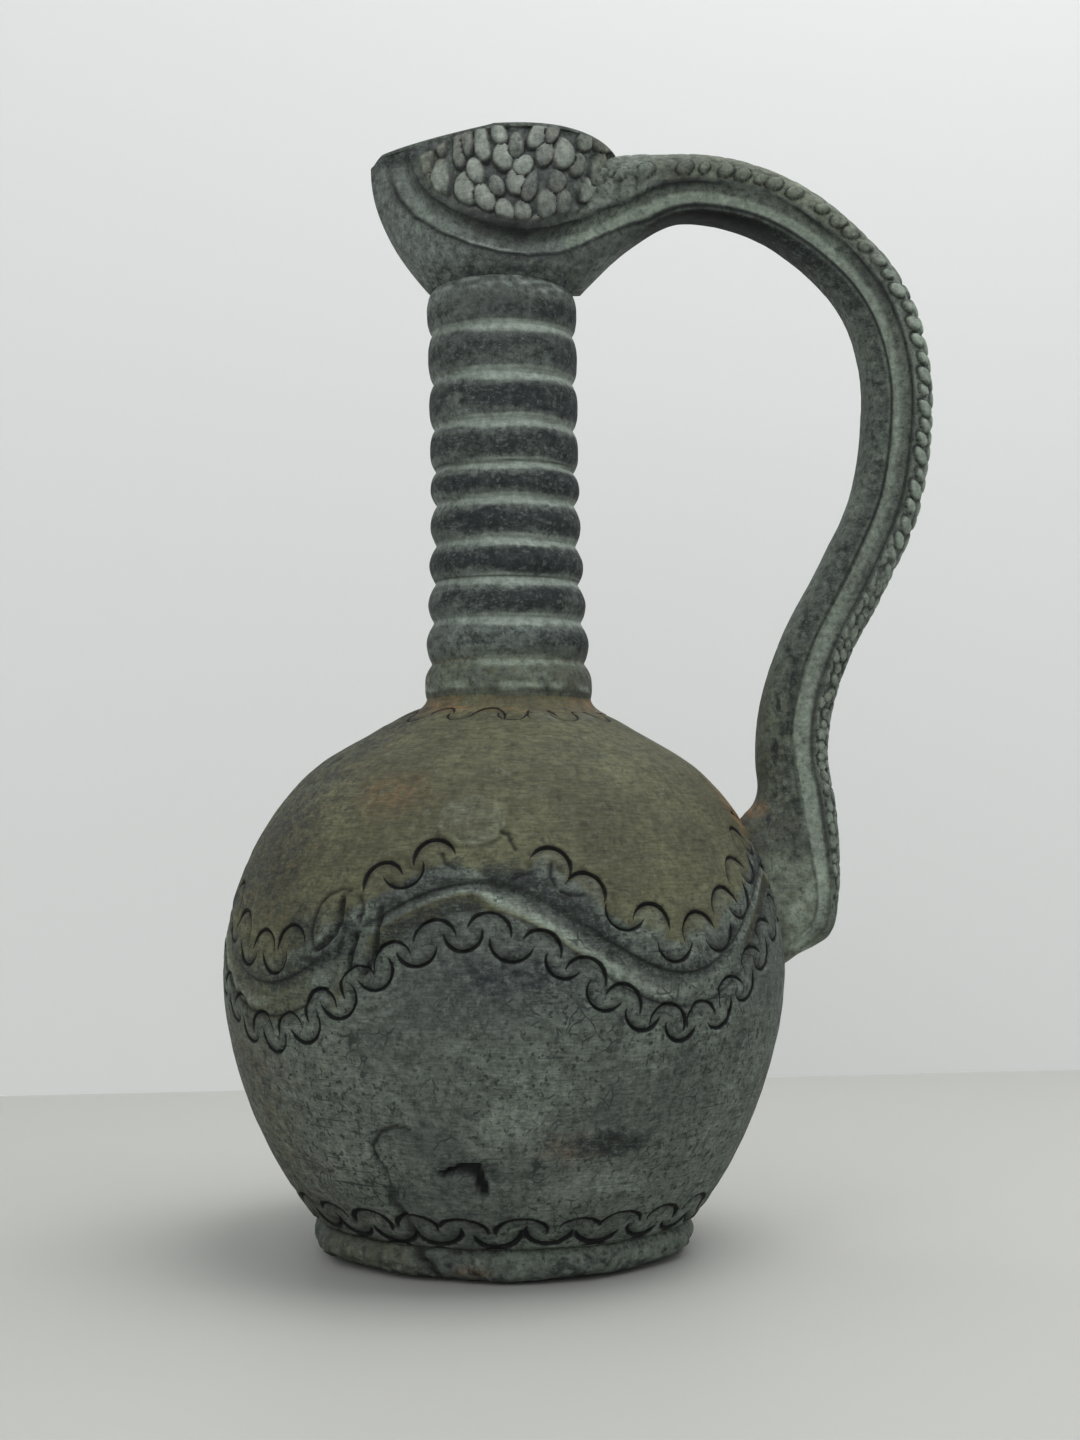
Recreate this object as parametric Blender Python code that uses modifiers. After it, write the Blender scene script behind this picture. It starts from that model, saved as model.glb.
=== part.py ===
"""A footed ceramic carafe: round belly, ribbed neck, leaf-shaped pouring head and S-shaped handle.

Six clay pieces are joined with slip. Metres, +Z up. The origin is the centre of the foot's
underside. The beak points along -X and the handle stands on the +X side.
"""

import math

import bpy
from mathutils import Vector

# Joints
JOIN_GAP = 0.0003
SLIP_THICKNESS = 0.0008
JOINT = SLIP_THICKNESS + 2 * JOIN_GAP

# Foot
FOOT_RADIUS = 0.0546
FOOT_HEIGHT = 0.0085

# Belly
BELLY_RADIUS = 0.0811
BELLY_Z = 0.0800
SHOULDER_RISE = 0.0790
UNDERSIDE_DROP = 0.1030
UNDERSIDE_POWER = 1.8
WALL = 0.0065
FLOOR_THICKNESS = 0.0070
BOWL_EDGE_HEIGHT = 0.0012
TONGUE_HEIGHT = 0.0060
TONGUE_THICKNESS = 0.0028
SLUMP_DEPTH = 0.0025
SLUMP_Z = 0.1475
SLUMP_REACH = 0.0095

# Carved wave round the belly: crests and troughs in degrees from the front towards the handle, and
# their height above the widest circle as a share of the shoulder's rise
WAVE = ((-52.5, -0.057), (-5.0, 0.306), (36.0, -0.006), (78.0, 0.342), (122.0, -0.025), (165.0, 0.304),
        (210.0, -0.038), (256.0, 0.291), (307.5, -0.057))
WAVE_HALF_HEIGHT = 0.0041
WAVE_DEPTH = 0.0010
WAVE_RIDGE_DEPTH = 0.0003
WAVE_RIDGE_PLACE = 0.25

# Neck
NECK_BORE_RADIUS = 0.0160
NECK_TENON_RADIUS = 0.0195
NECK_TENON_LENGTH = 0.0050
NECK_BASE_RADIUS = 0.0244
NECK_TOP_RADIUS = 0.0214
RIB_HEIGHTS = (0.0140, 0.0140, 0.0141, 0.0116, 0.0094, 0.0117, 0.0117, 0.0117, 0.0117, 0.0102)
RIB_DEPTH = 0.0016
SPIGOT_RADIUS = 0.0186
SPIGOT_HEIGHT = 0.0050

# Pouring head
HEAD_HEIGHT = 0.0475
HEAD_WALL = 0.0045
HEAD_FRONT = 0.0392
HEAD_BACK = 0.0335
HEAD_BULGE = 0.0270
HEAD_RIM_HALF_WIDTH = 0.0215
HEAD_PINCH = 0.7
HEAD_THROAT_HEIGHT = 0.0035
HEAD_THROAT_EDGE = 0.0005
BEAK_DROP = 0.0100
BACK_DROP = 0.0095

# Coves along both sides of the head and the handle
COVE_DEPTH = 0.0019
COVE_HALF_WIDTH = 0.0032
COVE_SHAPE = (0.0, 0.75, 1.0, 0.75, 0.0)
# On the head: degrees from the beak, level from 0 at the neck to 1 at the rim, share of the full depth
HEAD_COVE = ((0, 0.90, 0.0), (33, 0.90, 0.0), (40, 0.83, 1.0), (50, 0.54, 1.0), (62, 0.38, 1.0),
             (80, 0.245, 1.0), (105, 0.19, 1.0), (130, 0.242, 1.0), (143, 0.31, 1.0), (152, 0.35, 0.0),
             (180, 0.42, 0.0))
HEAD_COVE_LIMIT = 0.97
# On the handle: share of the way from the head, place across the strap from -1 at its inside to 1 at its
# back, share of the full depth
HANDLE_COVE = ((0.0, -0.50, 1.0), (0.12, -0.42, 1.0), (0.42, 0.0, 1.0), (0.66, 0.22, 1.0),
               (0.88, 0.39, 1.0), (0.95, 0.45, 0.0), (1.0, 0.50, 0.0))

# Handle
HANDLE_TOP_THICKNESS = 0.0180
HANDLE_ROOT_THICKNESS = 0.0210
HANDLE_WIDTH = 0.0225
HANDLE_SQUARENESS = 0.68
HANDLE_FLAT_TURN = 0.20
HANDLE_OVERHANG = 0.0338
HANDLE_ARCH_BELOW_RIM = 0.0182
HANDLE_ARCH_SETBACK = 0.0140
HANDLE_START_INSIDE_HEAD = 0.0125
HANDLE_START_BELOW_ARCH = 0.0035
HANDLE_NEAR_HEAD = 0.0100
HANDLE_NEAR_HEAD_BELOW_ARCH = 0.0005
HANDLE_ROOT_ABOVE_BELLY = 0.0080
HANDLE_ROOT_INSIDE_BELLY = 0.0065
GUSSET = 1.55
ROOT_FLARE = 0.35
CROTCH_FLARE = 0.90

# Free loop of the handle, as shares of its reach from the axis and of its drop from arch to root
HANDLE_LOOP = ((0.684, 0.976), (0.825, 0.926), (0.930, 0.864), (0.987, 0.788), (1.0, 0.697),
               (0.969, 0.584), (0.890, 0.486), (0.798, 0.393), (0.746, 0.314))
# Tail along the belly, as shares of its greatest distance outside the belly's radius and of the way down
HANDLE_TAIL_OUT = 0.0055
HANDLE_TAIL = ((0.49, 0.757), (0.82, 0.826), (1.0, 0.890), (0.65, 0.954))


# Fineness of the curved surfaces
TURN_STEPS = 48
CURVE_POINTS = 11
HEAD_POINTS = 48
HEAD_RINGS = 8
HANDLE_STATIONS = 44
WAVE_STATIONS = 96

CLAY = (0.20, 0.21, 0.15)
SLIP = (0.34, 0.21, 0.11)


def spread(start, end, count):
    """Return count evenly spaced values from start to end."""
    return [start + (end - start) * i / (count - 1) for i in range(count)]


def clay_finish(name, colour):
    """Make the object's own dry clay material."""
    finish = bpy.data.materials.new(name + "_clay")
    finish.use_nodes = True
    shader = finish.node_tree.nodes["Principled BSDF"]
    shader.inputs["Base Color"].default_value = (*colour, 1.0)
    shader.inputs["Roughness"].default_value = 0.65
    return finish


def add_object(name, points, edges, faces, colour=None):
    """Make a mesh object, in the carafe's collection when it has a colour, else as a hidden cutter."""
    mesh = bpy.data.meshes.new(name)
    mesh.from_pydata(points, edges, faces)
    obj = bpy.data.objects.new(name, mesh)
    if colour:
        carafe.objects.link(obj)
        mesh.materials.append(clay_finish(name, colour))
    else:
        cutters.objects.link(obj)
        obj.hide_render = True
        obj.display_type = "WIRE"
    return obj


def turned(name, outline, colour=None):
    """Spin an outline of (radius, height) points round the Z axis; it closes unless it ends on the axis."""
    points = [(radius, 0.0, height) for radius, height in outline]
    edges = [(i, i + 1) for i in range(len(points) - 1)]
    if outline[0][0] > 0:
        edges.append((len(points) - 1, 0))
    obj = add_object(name, points, edges, [], colour)
    screw = obj.modifiers.new("turn", "SCREW")
    screw.axis = "Z"
    screw.steps = TURN_STEPS
    screw.render_steps = TURN_STEPS
    screw.use_merge_vertices = True
    screw.merge_threshold = 0.00001
    return obj


def slip_ring(name, inner, outer, bottom, height):
    """A turned ring of slip with a square section."""
    top = bottom + height
    outline = [(inner, top), (outer, top), (outer, bottom), (inner, bottom)]
    return turned(name, outline, SLIP)


def loft(name, rings, colour=None, joined=False):
    """Skin rings of equal point count; the ends are capped, or joined into a tube that closes on itself."""
    count = len(rings[0])
    points = [point for ring in rings for point in ring]
    last = len(rings) if joined else len(rings) - 1
    faces = []
    for i in range(last):
        low = i * count
        high = (i + 1) % len(rings) * count
        for j in range(count):
            k = (j + 1) % count
            faces.append((low + j, low + k, high + k, high + j))
    if not joined:
        faces.append(tuple(reversed(range(count))))
        faces.append(tuple(range(last * count, (last + 1) * count)))
    return add_object(name, points, [], faces, colour)


def cut(obj, cutter, operation="DIFFERENCE"):
    """Shape obj with another solid."""
    boolean = obj.modifiers.new("cut", "BOOLEAN")
    boolean.operation = operation
    boolean.solver = "EXACT"
    boolean.object = cutter


def underside_radius(height):
    """Outer radius of the belly below its widest circle."""
    share = max(BELLY_Z - height, 0.0) / UNDERSIDE_DROP
    return BELLY_RADIUS * (1 - share**UNDERSIDE_POWER) ** (1 / UNDERSIDE_POWER)


def shoulder_arc(radius, rise, low_angle, end_radius):
    """Points of the shoulder's elliptical curve, from low_angle up to end_radius."""
    angles = spread(low_angle, math.acos(end_radius / radius), CURVE_POINTS)
    return [(radius * math.cos(a), BELLY_Z + rise * math.sin(a)) for a in angles]


def slumped(arc):
    """The shoulder's curve with the soft hollow where the wall has sunk under the neck."""
    points = []
    for radius, height in arc:
        share = min(abs(height - SLUMP_Z) / SLUMP_REACH, 1.0)
        points.append((radius - SLUMP_DEPTH * (1 + math.cos(math.pi * share)) / 2, height))
    return points


def belly_outside(height):
    """Outer radius of the belly, below and above its widest circle."""
    if height < BELLY_Z:
        return underside_radius(height)
    return BELLY_RADIUS * math.sqrt(1 - ((height - BELLY_Z) / SHOULDER_RISE) ** 2)


def wave_level(turn):
    """Height of the carved wave's middle at an angle from the front, in half cosine waves."""
    start = WAVE[0][0]
    turn = (turn - start) % 360 + start
    i = max(n for n in range(len(WAVE) - 1) if WAVE[n][0] <= turn)
    share = (turn - WAVE[i][0]) / (WAVE[i + 1][0] - WAVE[i][0])
    rise = WAVE[i][1] + (WAVE[i + 1][1] - WAVE[i][1]) * (1 - math.cos(math.pi * share)) / 2
    return BELLY_Z + SHOULDER_RISE * rise


def wave_cutter(name):
    """A closed wavy ring that stands in the belly's wall, by less along the carved wave's ridge."""
    rings = []
    for i in range(WAVE_STATIONS):
        turn = 360 * i / WAVE_STATIONS
        middle = wave_level(turn)
        slope = (wave_level(turn + 1) - wave_level(turn - 1)) / (math.radians(2) * BELLY_RADIUS)
        half = WAVE_HALF_HEIGHT * math.sqrt(1 + slope**2)
        low, high = middle - half, middle + half
        ridge = middle + WAVE_RIDGE_PLACE * half
        section = [
            (belly_outside(low) - WAVE_DEPTH, low),
            (belly_outside(ridge) - WAVE_RIDGE_DEPTH, ridge),
            (belly_outside(high) - WAVE_DEPTH, high),
            (belly_outside(high) + WALL, high),
            (belly_outside(low) + WALL, low),
        ]
        across, forward = math.sin(math.radians(turn)), -math.cos(math.radians(turn))
        rings.append([(radius * across, radius * forward, height) for radius, height in section])
    return loft(name, rings, joined=True)


def head_half_width(turn, pinch):
    """Half width of the leaf shape at an angle from the beak, as a share of its full half width."""
    peak = math.acos(-pinch / (pinch + 2))
    widest = math.sin(peak) * math.sin(peak / 2) ** pinch
    return math.sin(turn) * abs(math.sin(turn / 2)) ** pinch / widest


def head_turns():
    """Angles from the beak at which the head's rings have their points."""
    return [2 * math.pi * i / HEAD_POINTS for i in range(HEAD_POINTS)]


def head_point(turn, level, inset, lift=0.0):
    """A point of the head's wall at a level from 0 at the neck to 1 at the rim, moved in by inset."""
    flare = 1 - max(1 - level, 0.0) ** 2.5
    front = NECK_TOP_RADIUS + (HEAD_FRONT - NECK_TOP_RADIUS) * flare - inset
    back = NECK_TOP_RADIUS + (HEAD_BACK - NECK_TOP_RADIUS) * level - inset
    straight = NECK_TOP_RADIUS + (HEAD_RIM_HALF_WIDTH - NECK_TOP_RADIUS) * level
    bulge = HEAD_BULGE - (NECK_TOP_RADIUS + HEAD_RIM_HALF_WIDTH) / 2
    width = straight + bulge * math.sin(math.pi * level**0.8) - inset
    towards_beak = (1 + math.cos(turn)) / 2
    rim = HEAD_HEIGHT - BEAK_DROP * towards_beak**2 - BACK_DROP * (1 - towards_beak) ** 2
    x = (back - front) / 2 - (back + front) / 2 * math.cos(turn)
    y = width * head_half_width(turn, HEAD_PINCH * level)
    return (x, -y, head_z + rim * level + lift)


def head_ring(level, inset, lift=0.0):
    """A ring of the pouring head at one level."""
    return [head_point(turn, level, inset, lift) for turn in head_turns()]


def cove_at(line, place):
    """The cove's middle and its share of the full depth, at a place along its line."""
    i = max(n for n in range(len(line) - 1) if line[n][0] <= place)
    before, after = Vector(line[i]), Vector(line[i + 1])
    _, middle, depth = before.lerp(after, (place - before.x) / (after.x - before.x))
    return middle, depth


def head_cove(turn):
    """Levels of the cove's lower and upper edge on the head, and its share of the full depth."""
    around = abs((math.degrees(turn) + 180) % 360 - 180)
    nearer, further = max(around - 1, 0), min(around + 1, 180)
    start = Vector(head_point(math.radians(nearer), cove_at(HEAD_COVE, nearer)[0], 0.0))
    end = Vector(head_point(math.radians(further), cove_at(HEAD_COVE, further)[0], 0.0))
    steepness = (end - start).length / (end - start).xy.length
    middle, depth = cove_at(HEAD_COVE, around)
    half = COVE_HALF_WIDTH / HEAD_HEIGHT * steepness
    return middle - half, min(middle + half, HEAD_COVE_LIMIT), depth


def head_outside():
    """Rings of the head's outer wall, from the neck to the rim, that follow the cove and dip into it."""
    columns = []
    for turn in head_turns():
        low, high, depth = head_cove(turn)
        levels = spread(0.0, low, 3)[:-1] + spread(low, high, 5) + spread(high, 1.0, 5)[1:]
        bites = (0.0,) * 2 + COVE_SHAPE + (0.0,) * 4
        wall = [head_point(turn, level, COVE_DEPTH * depth * bite) for level, bite in zip(levels, bites)]
        columns.append(wall)
    return [list(ring) for ring in zip(*columns)]


def head_circle(radius, height):
    """A round ring of the head with the same point count and start as its leaf-shaped rings."""
    return [(-radius * math.cos(a), -radius * math.sin(a), height) for a in head_turns()]


def head_cutter(name, offset):
    """The space of the head and its mouth, grown by offset, for fitting the handle against it."""
    rings = [head_ring(level, -offset) for level in spread(0.0, 1.0, HEAD_RINGS)]
    rings.append(head_ring(1.0, -offset, HEAD_HEIGHT / 2))
    return loft(name, rings)


def belly_cutter(name, offset):
    """The space of the closed belly, grown by offset, for fitting the handle's root against it."""
    top = shoulder_arc(BELLY_RADIUS + offset, SHOULDER_RISE + offset, 0.0, NECK_BORE_RADIUS)
    heights = spread(BELLY_Z, bowl_z, CURVE_POINTS)[1:]
    under = [(underside_radius(height) + offset, height) for height in heights]
    outline = [(0.0, top[-1][1])] + list(reversed(top)) + under + [(0.0, bowl_z)]
    return turned(name, outline)


def handle_points():
    """Turning points of the handle's centre line in the XZ plane, from the head to the root."""
    arch = head_z + HEAD_HEIGHT - HANDLE_ARCH_BELOW_RIM
    root = BELLY_Z + HANDLE_ROOT_ABOVE_BELLY
    drop = arch - root
    reach = BELLY_RADIUS + HANDLE_OVERHANG
    points = [
        (HEAD_BACK - HANDLE_START_INSIDE_HEAD, arch - HANDLE_START_BELOW_ARCH),
        (HEAD_BACK + HANDLE_NEAR_HEAD, arch - HANDLE_NEAR_HEAD_BELOW_ARCH),
        ((HEAD_BACK + reach) / 2 - HANDLE_ARCH_SETBACK, arch),
    ]
    points += [(x * reach, root + z * drop) for x, z in HANDLE_LOOP]
    points += [(BELLY_RADIUS + x * HANDLE_TAIL_OUT, arch - z * drop) for x, z in HANDLE_TAIL]
    points.append((BELLY_RADIUS - HANDLE_ROOT_INSIDE_BELLY, root))
    return [Vector(point) for point in points]


def smooth_line(points, share):
    """Place and direction on a smooth curve through points, at a share of the way along."""
    place = share * (len(points) - 1)
    i = min(int(place), len(points) - 2)
    u = place - i
    before = points[i - 1] if i > 0 else 2 * points[0] - points[1]
    after = points[i + 2] if i + 2 < len(points) else 2 * points[-1] - points[-2]
    slope_a = (points[i + 1] - before) / 2
    slope_b = (after - points[i]) / 2
    bend = points[i + 1] - points[i]
    cubic = slope_a + slope_b - 2 * bend
    square = 3 * bend - 2 * slope_a - slope_b
    spot = points[i] + u * slope_a + u * u * square + u**3 * cubic
    along = slope_a + 2 * u * square + 3 * u * u * cubic
    return spot, along.normalized()


def section_turn(out):
    """Angle round the handle's section, from its inside, at a place across the strap."""
    return math.acos(-math.copysign(abs(out) ** (1 / HANDLE_SQUARENESS), out))


def half_section(share, half_thickness):
    """One side of the handle's rounded square section, with the cove cut into it, as shares of its size."""
    middle, full = cove_at(HANDLE_COVE, share)
    reach = COVE_HALF_WIDTH / half_thickness
    low, high = section_turn(middle - reach), section_turn(middle + reach)
    below = [(turn, 0.0) for turn in spread(HANDLE_FLAT_TURN, low, 4)]
    cove = list(zip(spread(low, high, 5), COVE_SHAPE))
    above = [(turn, 0.0) for turn in spread(high, math.pi - HANDLE_FLAT_TURN, 5)]
    outline = []
    for turn, depth in below + cove[1:-1] + above:
        out = -math.copysign(abs(math.cos(turn)) ** HANDLE_SQUARENESS, math.cos(turn))
        side = math.sin(turn) ** HANDLE_SQUARENESS
        outline.append((out, side - 2 * COVE_DEPTH / HANDLE_WIDTH * depth * full))
    return outline


def handle_rings():
    """Sections along the handle: a rounded square with a cove along each side."""
    points = handle_points()
    rings = []
    for share in spread(0.0, 1.0, HANDLE_STATIONS):
        spot, along = smooth_line(points, share)
        outward = Vector((-along.y, along.x))
        near_head = max(0.0, 1 - share / 0.125) ** 2.5
        near_root = max(0.0, (share - 0.72) / 0.28) ** 2
        in_crotch = min(max(0.0, (share - 0.77) / 0.07), 1.0) ** 2
        width = HANDLE_WIDTH / 2 * (1 + GUSSET / 4 * near_head + ROOT_FLARE * near_root)
        thickness = HANDLE_TOP_THICKNESS + (HANDLE_ROOT_THICKNESS - HANDLE_TOP_THICKNESS) * share
        half = half_section(share, thickness / 2)
        outline = half + [(out, -side) for out, side in reversed(half)]
        ring = []
        for out, side in outline:
            depth = thickness / 2 * out
            if out < 0:
                depth *= 1 + GUSSET * near_head + CROTCH_FLARE * in_crotch
            place = spot + outward * depth
            ring.append((place.x, width * side, place.y))
        rings.append(ring)
    return rings


for old in list(bpy.data.objects):
    bpy.data.objects.remove(old)
carafe = bpy.data.collections.new("ceramic_carafe")
cutters = bpy.data.collections.new("cutters")
bpy.context.scene.collection.children.link(carafe)
bpy.context.scene.collection.children.link(cutters)

# Levels of the joints, from the floor up
bowl_z = FOOT_HEIGHT + JOINT
seam_z = BELLY_Z
tongue_z = seam_z + TONGUE_HEIGHT
seat_z = BELLY_Z + SHOULDER_RISE * math.sqrt(1 - (NECK_BASE_RADIUS / BELLY_RADIUS) ** 2)
neck_z = seat_z + JOINT
neck_top_z = neck_z + sum(RIB_HEIGHTS)
head_z = neck_top_z + JOINT

# Foot: a slab with a pinched, rounded edge
turned(
    "foot_disc",
    [
        (0.0, FOOT_HEIGHT),
        (FOOT_RADIUS * 0.95, FOOT_HEIGHT),
        (FOOT_RADIUS * 0.99, FOOT_HEIGHT * 0.84),
        (FOOT_RADIUS, FOOT_HEIGHT * 0.58),
        (FOOT_RADIUS * 0.99, FOOT_HEIGHT * 0.30),
        (FOOT_RADIUS * 0.965, FOOT_HEIGHT * 0.09),
        (FOOT_RADIUS * 0.93, 0.0),
        (0.0, 0.0),
    ],
    CLAY,
)
slip_ring(
    "foot_slip_ring", FOOT_RADIUS * 0.70, FOOT_RADIUS * 0.92, FOOT_HEIGHT + JOIN_GAP, SLIP_THICKNESS
)

# Lower half of the belly: floor, wall and the tongue of the lap joint
floor_z = bowl_z + FLOOR_THICKNESS
tongue_inner = BELLY_RADIUS - WALL
tongue_outer = tongue_inner + TONGUE_THICKNESS
inner_wall = [(underside_radius(z) - WALL, z) for z in spread(floor_z + WALL, seam_z, CURVE_POINTS)]
outer_wall = [(underside_radius(z), z) for z in spread(seam_z, bowl_z + BOWL_EDGE_HEIGHT, CURVE_POINTS)]
bowl_outline = [(0.0, floor_z), (inner_wall[0][0] * 0.90, floor_z)]
bowl_outline += inner_wall
bowl_outline += [(tongue_inner, tongue_z), (tongue_outer, tongue_z), (tongue_outer, seam_z)]
bowl_outline += outer_wall
bowl_outline += [(FOOT_RADIUS * 0.985, bowl_z), (0.0, bowl_z)]
bowl = turned("lower_bowl", bowl_outline, CLAY)
wave = wave_cutter("wave_space")
cut(bowl, wave)

# Slip sleeve between the tongue and the rebate of the upper half
slip_ring(
    "belly_slip_ring",
    tongue_outer + JOIN_GAP,
    tongue_outer + JOIN_GAP + SLIP_THICKNESS,
    seam_z + JOIN_GAP,
    TONGUE_HEIGHT - JOIN_GAP,
)

# Upper half of the belly: lip, shoulder and the hole that takes the neck's tenon
lip_inner = tongue_outer + JOINT
lip_z = seam_z + JOIN_GAP
hole_radius = NECK_TENON_RADIUS + JOIN_GAP
ceiling_z = tongue_z + JOIN_GAP
inner_rise = SHOULDER_RISE - WALL
start_angle = math.asin((ceiling_z - BELLY_Z) / inner_rise)
lip_angle = math.asin((lip_z - BELLY_Z) / SHOULDER_RISE)
shoulder = slumped(shoulder_arc(BELLY_RADIUS, SHOULDER_RISE, lip_angle, NECK_BASE_RADIUS))
dome_outline = list(reversed(shoulder))
dome_outline += [(lip_inner, lip_z), (lip_inner, ceiling_z)]
dome_outline += shoulder_arc(tongue_inner, inner_rise, start_angle, hole_radius)
dome_outline.append((hole_radius, seat_z))
dome = turned("upper_dome", dome_outline, CLAY)
cut(dome, wave)
slip_ring(
    "neck_slip_ring", hole_radius, NECK_BASE_RADIUS - JOIN_GAP, seat_z + JOIN_GAP, SLIP_THICKNESS
)

# Neck: spigot, ten thrown ribs and a tenon
neck_outline = [(SPIGOT_RADIUS, neck_top_z + SPIGOT_HEIGHT), (SPIGOT_RADIUS, neck_top_z)]
rib_top = neck_top_z
for rib_height in RIB_HEIGHTS:
    for share, depth in ((0.04, 0.9), (0.22, 0.25), (0.50, 0.0), (0.78, 0.25), (0.96, 0.9)):
        height = rib_top - rib_height * share
        down = (neck_top_z - height) / (neck_top_z - neck_z)
        crest = NECK_TOP_RADIUS + (NECK_BASE_RADIUS - NECK_TOP_RADIUS) * down**2
        neck_outline.append((crest - RIB_DEPTH * depth, height))
    rib_top -= rib_height
neck_outline += [
    (NECK_BASE_RADIUS - RIB_DEPTH, neck_z),
    (NECK_TENON_RADIUS, neck_z),
    (NECK_TENON_RADIUS, neck_z - NECK_TENON_LENGTH),
    (NECK_BORE_RADIUS, neck_z - NECK_TENON_LENGTH),
    (NECK_BORE_RADIUS, neck_top_z + SPIGOT_HEIGHT),
]
turned("neck_tube", neck_outline, CLAY)
socket_radius = SPIGOT_RADIUS + JOIN_GAP
slip_ring(
    "head_slip_ring",
    socket_radius,
    NECK_TOP_RADIUS - RIB_DEPTH,
    neck_top_z + JOIN_GAP,
    SLIP_THICKNESS,
)

# Pouring head: outer wall up to the rim, inner wall down to the bore, and the socket
socket_z = neck_top_z + SPIGOT_HEIGHT + JOIN_GAP
inner_start = (socket_z + HEAD_THROAT_HEIGHT - head_z) / HEAD_HEIGHT
head_rings = head_outside()
head_rings += [head_ring(level, HEAD_WALL) for level in spread(1.0, inner_start, HEAD_RINGS)]
head_rings.append(head_circle(NECK_BORE_RADIUS, socket_z + HEAD_THROAT_EDGE))
head_rings.append(head_circle(NECK_BORE_RADIUS, socket_z))
head_rings.append(head_circle(socket_radius, socket_z))
head_rings.append(head_circle(socket_radius, head_z))
loft("spout_head", head_rings, CLAY, joined=True)

# Handle: one pulled strap, trimmed to stand off the head and the belly by the thickness of a joint
strap = loft("handle_strap", handle_rings(), CLAY)
cut(strap, head_cutter("head_space", JOINT))
cut(strap, belly_cutter("belly_space", JOINT))

# Slip pads under both ends of the handle
top_pad = loft("handle_top_slip_pad", handle_rings()[: HANDLE_STATIONS // 4], SLIP)
cut(top_pad, head_cutter("head_pad_outside", JOIN_GAP + SLIP_THICKNESS), "INTERSECT")
cut(top_pad, head_cutter("head_pad_inside", JOIN_GAP))
root_pad = loft("handle_root_slip_pad", handle_rings()[HANDLE_STATIONS * 2 // 3 :], SLIP)
cut(root_pad, belly_cutter("belly_pad_outside", JOIN_GAP + SLIP_THICKNESS), "INTERSECT")
cut(root_pad, belly_cutter("belly_pad_inside", JOIN_GAP))
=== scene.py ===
"""Looks of a hand-built ceramic carafe with a worn green patina.

Each clay piece is a grid of points worked out with numpy in millimetres and put into a mesh in
metres. Heights are above the foot's underside. Azimuth goes round the belly in degrees: 0 faces the
camera (-Y), 90 is the handle's side (+X).
"""

import functools
import math

import bpy
import numpy as np
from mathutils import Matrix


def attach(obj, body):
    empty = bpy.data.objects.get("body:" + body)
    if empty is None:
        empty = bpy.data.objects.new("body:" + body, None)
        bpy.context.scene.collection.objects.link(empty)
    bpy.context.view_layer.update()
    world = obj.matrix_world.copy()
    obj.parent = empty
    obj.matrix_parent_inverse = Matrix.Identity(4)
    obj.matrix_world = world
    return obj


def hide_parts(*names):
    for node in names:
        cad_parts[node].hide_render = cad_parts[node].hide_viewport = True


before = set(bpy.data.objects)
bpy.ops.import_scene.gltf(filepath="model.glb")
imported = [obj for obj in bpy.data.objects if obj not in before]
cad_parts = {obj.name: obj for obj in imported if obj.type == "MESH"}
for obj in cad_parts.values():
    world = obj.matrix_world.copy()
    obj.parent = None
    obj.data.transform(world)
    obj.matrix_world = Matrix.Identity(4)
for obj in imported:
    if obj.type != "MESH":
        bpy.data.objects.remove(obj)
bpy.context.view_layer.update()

# Sizes of the clay pieces, in millimetres
MM = 0.001
BELLY_RADIUS = 81.1
BELLY_Z = 80.0
SHOULDER_RISE = 79.0
UNDERSIDE_DROP = 103.0
UNDERSIDE_POWER = 1.8
WALL = 6.5
BOWL_Z = 9.7
FLOOR_Z = 16.9
FLOOR_RADIUS = 46.0
INNER_TOP_Z = 149.9
SEAT_Z = 155.3
NECK_HOLE_RADIUS = 19.8
NECK_Z = 156.5
NECK_TOP_Z = 276.8
NECK_BORE = 16.0
NECK_BASE_RADIUS = 24.4
NECK_TOP_RADIUS = 21.7
RIB_HEIGHTS = np.array([12.5, 14.1, 13.7, 12.4, 9.8, 11.9, 11.0, 11.4, 11.9, 11.6])
RIB_PAINT = np.array([1.05, 0.86, 1.08, 1.0, 1.2, 1.03, 1.2, 0.95, 0.62, 0.40])
LOWER_SPIGOT_RADIUS = 19.5
LOWER_SPIGOT_Z = 152.0
UPPER_SPIGOT_RADIUS = 18.6
UPPER_SPIGOT_Z = 281.8
SEAM_RISE = 1.3
HEAD_Z = 277.0
HEAD_WALL = 4.5
HEAD_FRONT = 39.7
HEAD_BACK = 33.5
HEAD_BULGE = 27.0
HEAD_RIM_HALF_WIDTH = 21.5
HEAD_PINCH = 0.7
RIM_Z = 322.0
SOCKET_RADIUS = 18.9
SOCKET_Z = 282.1
HANDLE_HALF_WIDTH = 11.2
HANDLE_TOP_THICKNESS = 18.0
HANDLE_ROOT_THICKNESS = 21.0
SQUARE_POWER = 0.68
FOOT_RADIUS = 54.6
FOOT_HEIGHT = 9.8

# Columns of the grids, and the angle in degrees past which an edge stays sharp
FINE = 1080
MIDDLE = 540
COARSE = 60
SHARP_ANGLE = 50.0


def ease(low, high, value):
    """Smooth step from 0 at low to 1 at high."""
    share = np.clip((value - low) / (high - low), 0.0, 1.0)
    return share * share * (3 - 2 * share)


def hump(value, width):
    """Bell curve of height 1 that falls off over width."""
    return np.exp(-((value / width) ** 2))


def most(*fields):
    """Highest of several fields at each point."""
    return functools.reduce(np.maximum, fields)


def turned(x, y, tilt):
    """Two lengths as seen in axes turned by an angle."""
    return x * np.cos(tilt) + y * np.sin(tilt), y * np.cos(tilt) - x * np.sin(tilt)


def off_segment(x, y, run, rise):
    """The two lengths from the nearest place on a segment, which starts at zero and goes by run and rise."""
    share = np.clip((x * run + y * rise) / (run * run + rise * rise), 0, 1)
    return x - share * run, y - share * rise


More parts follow.
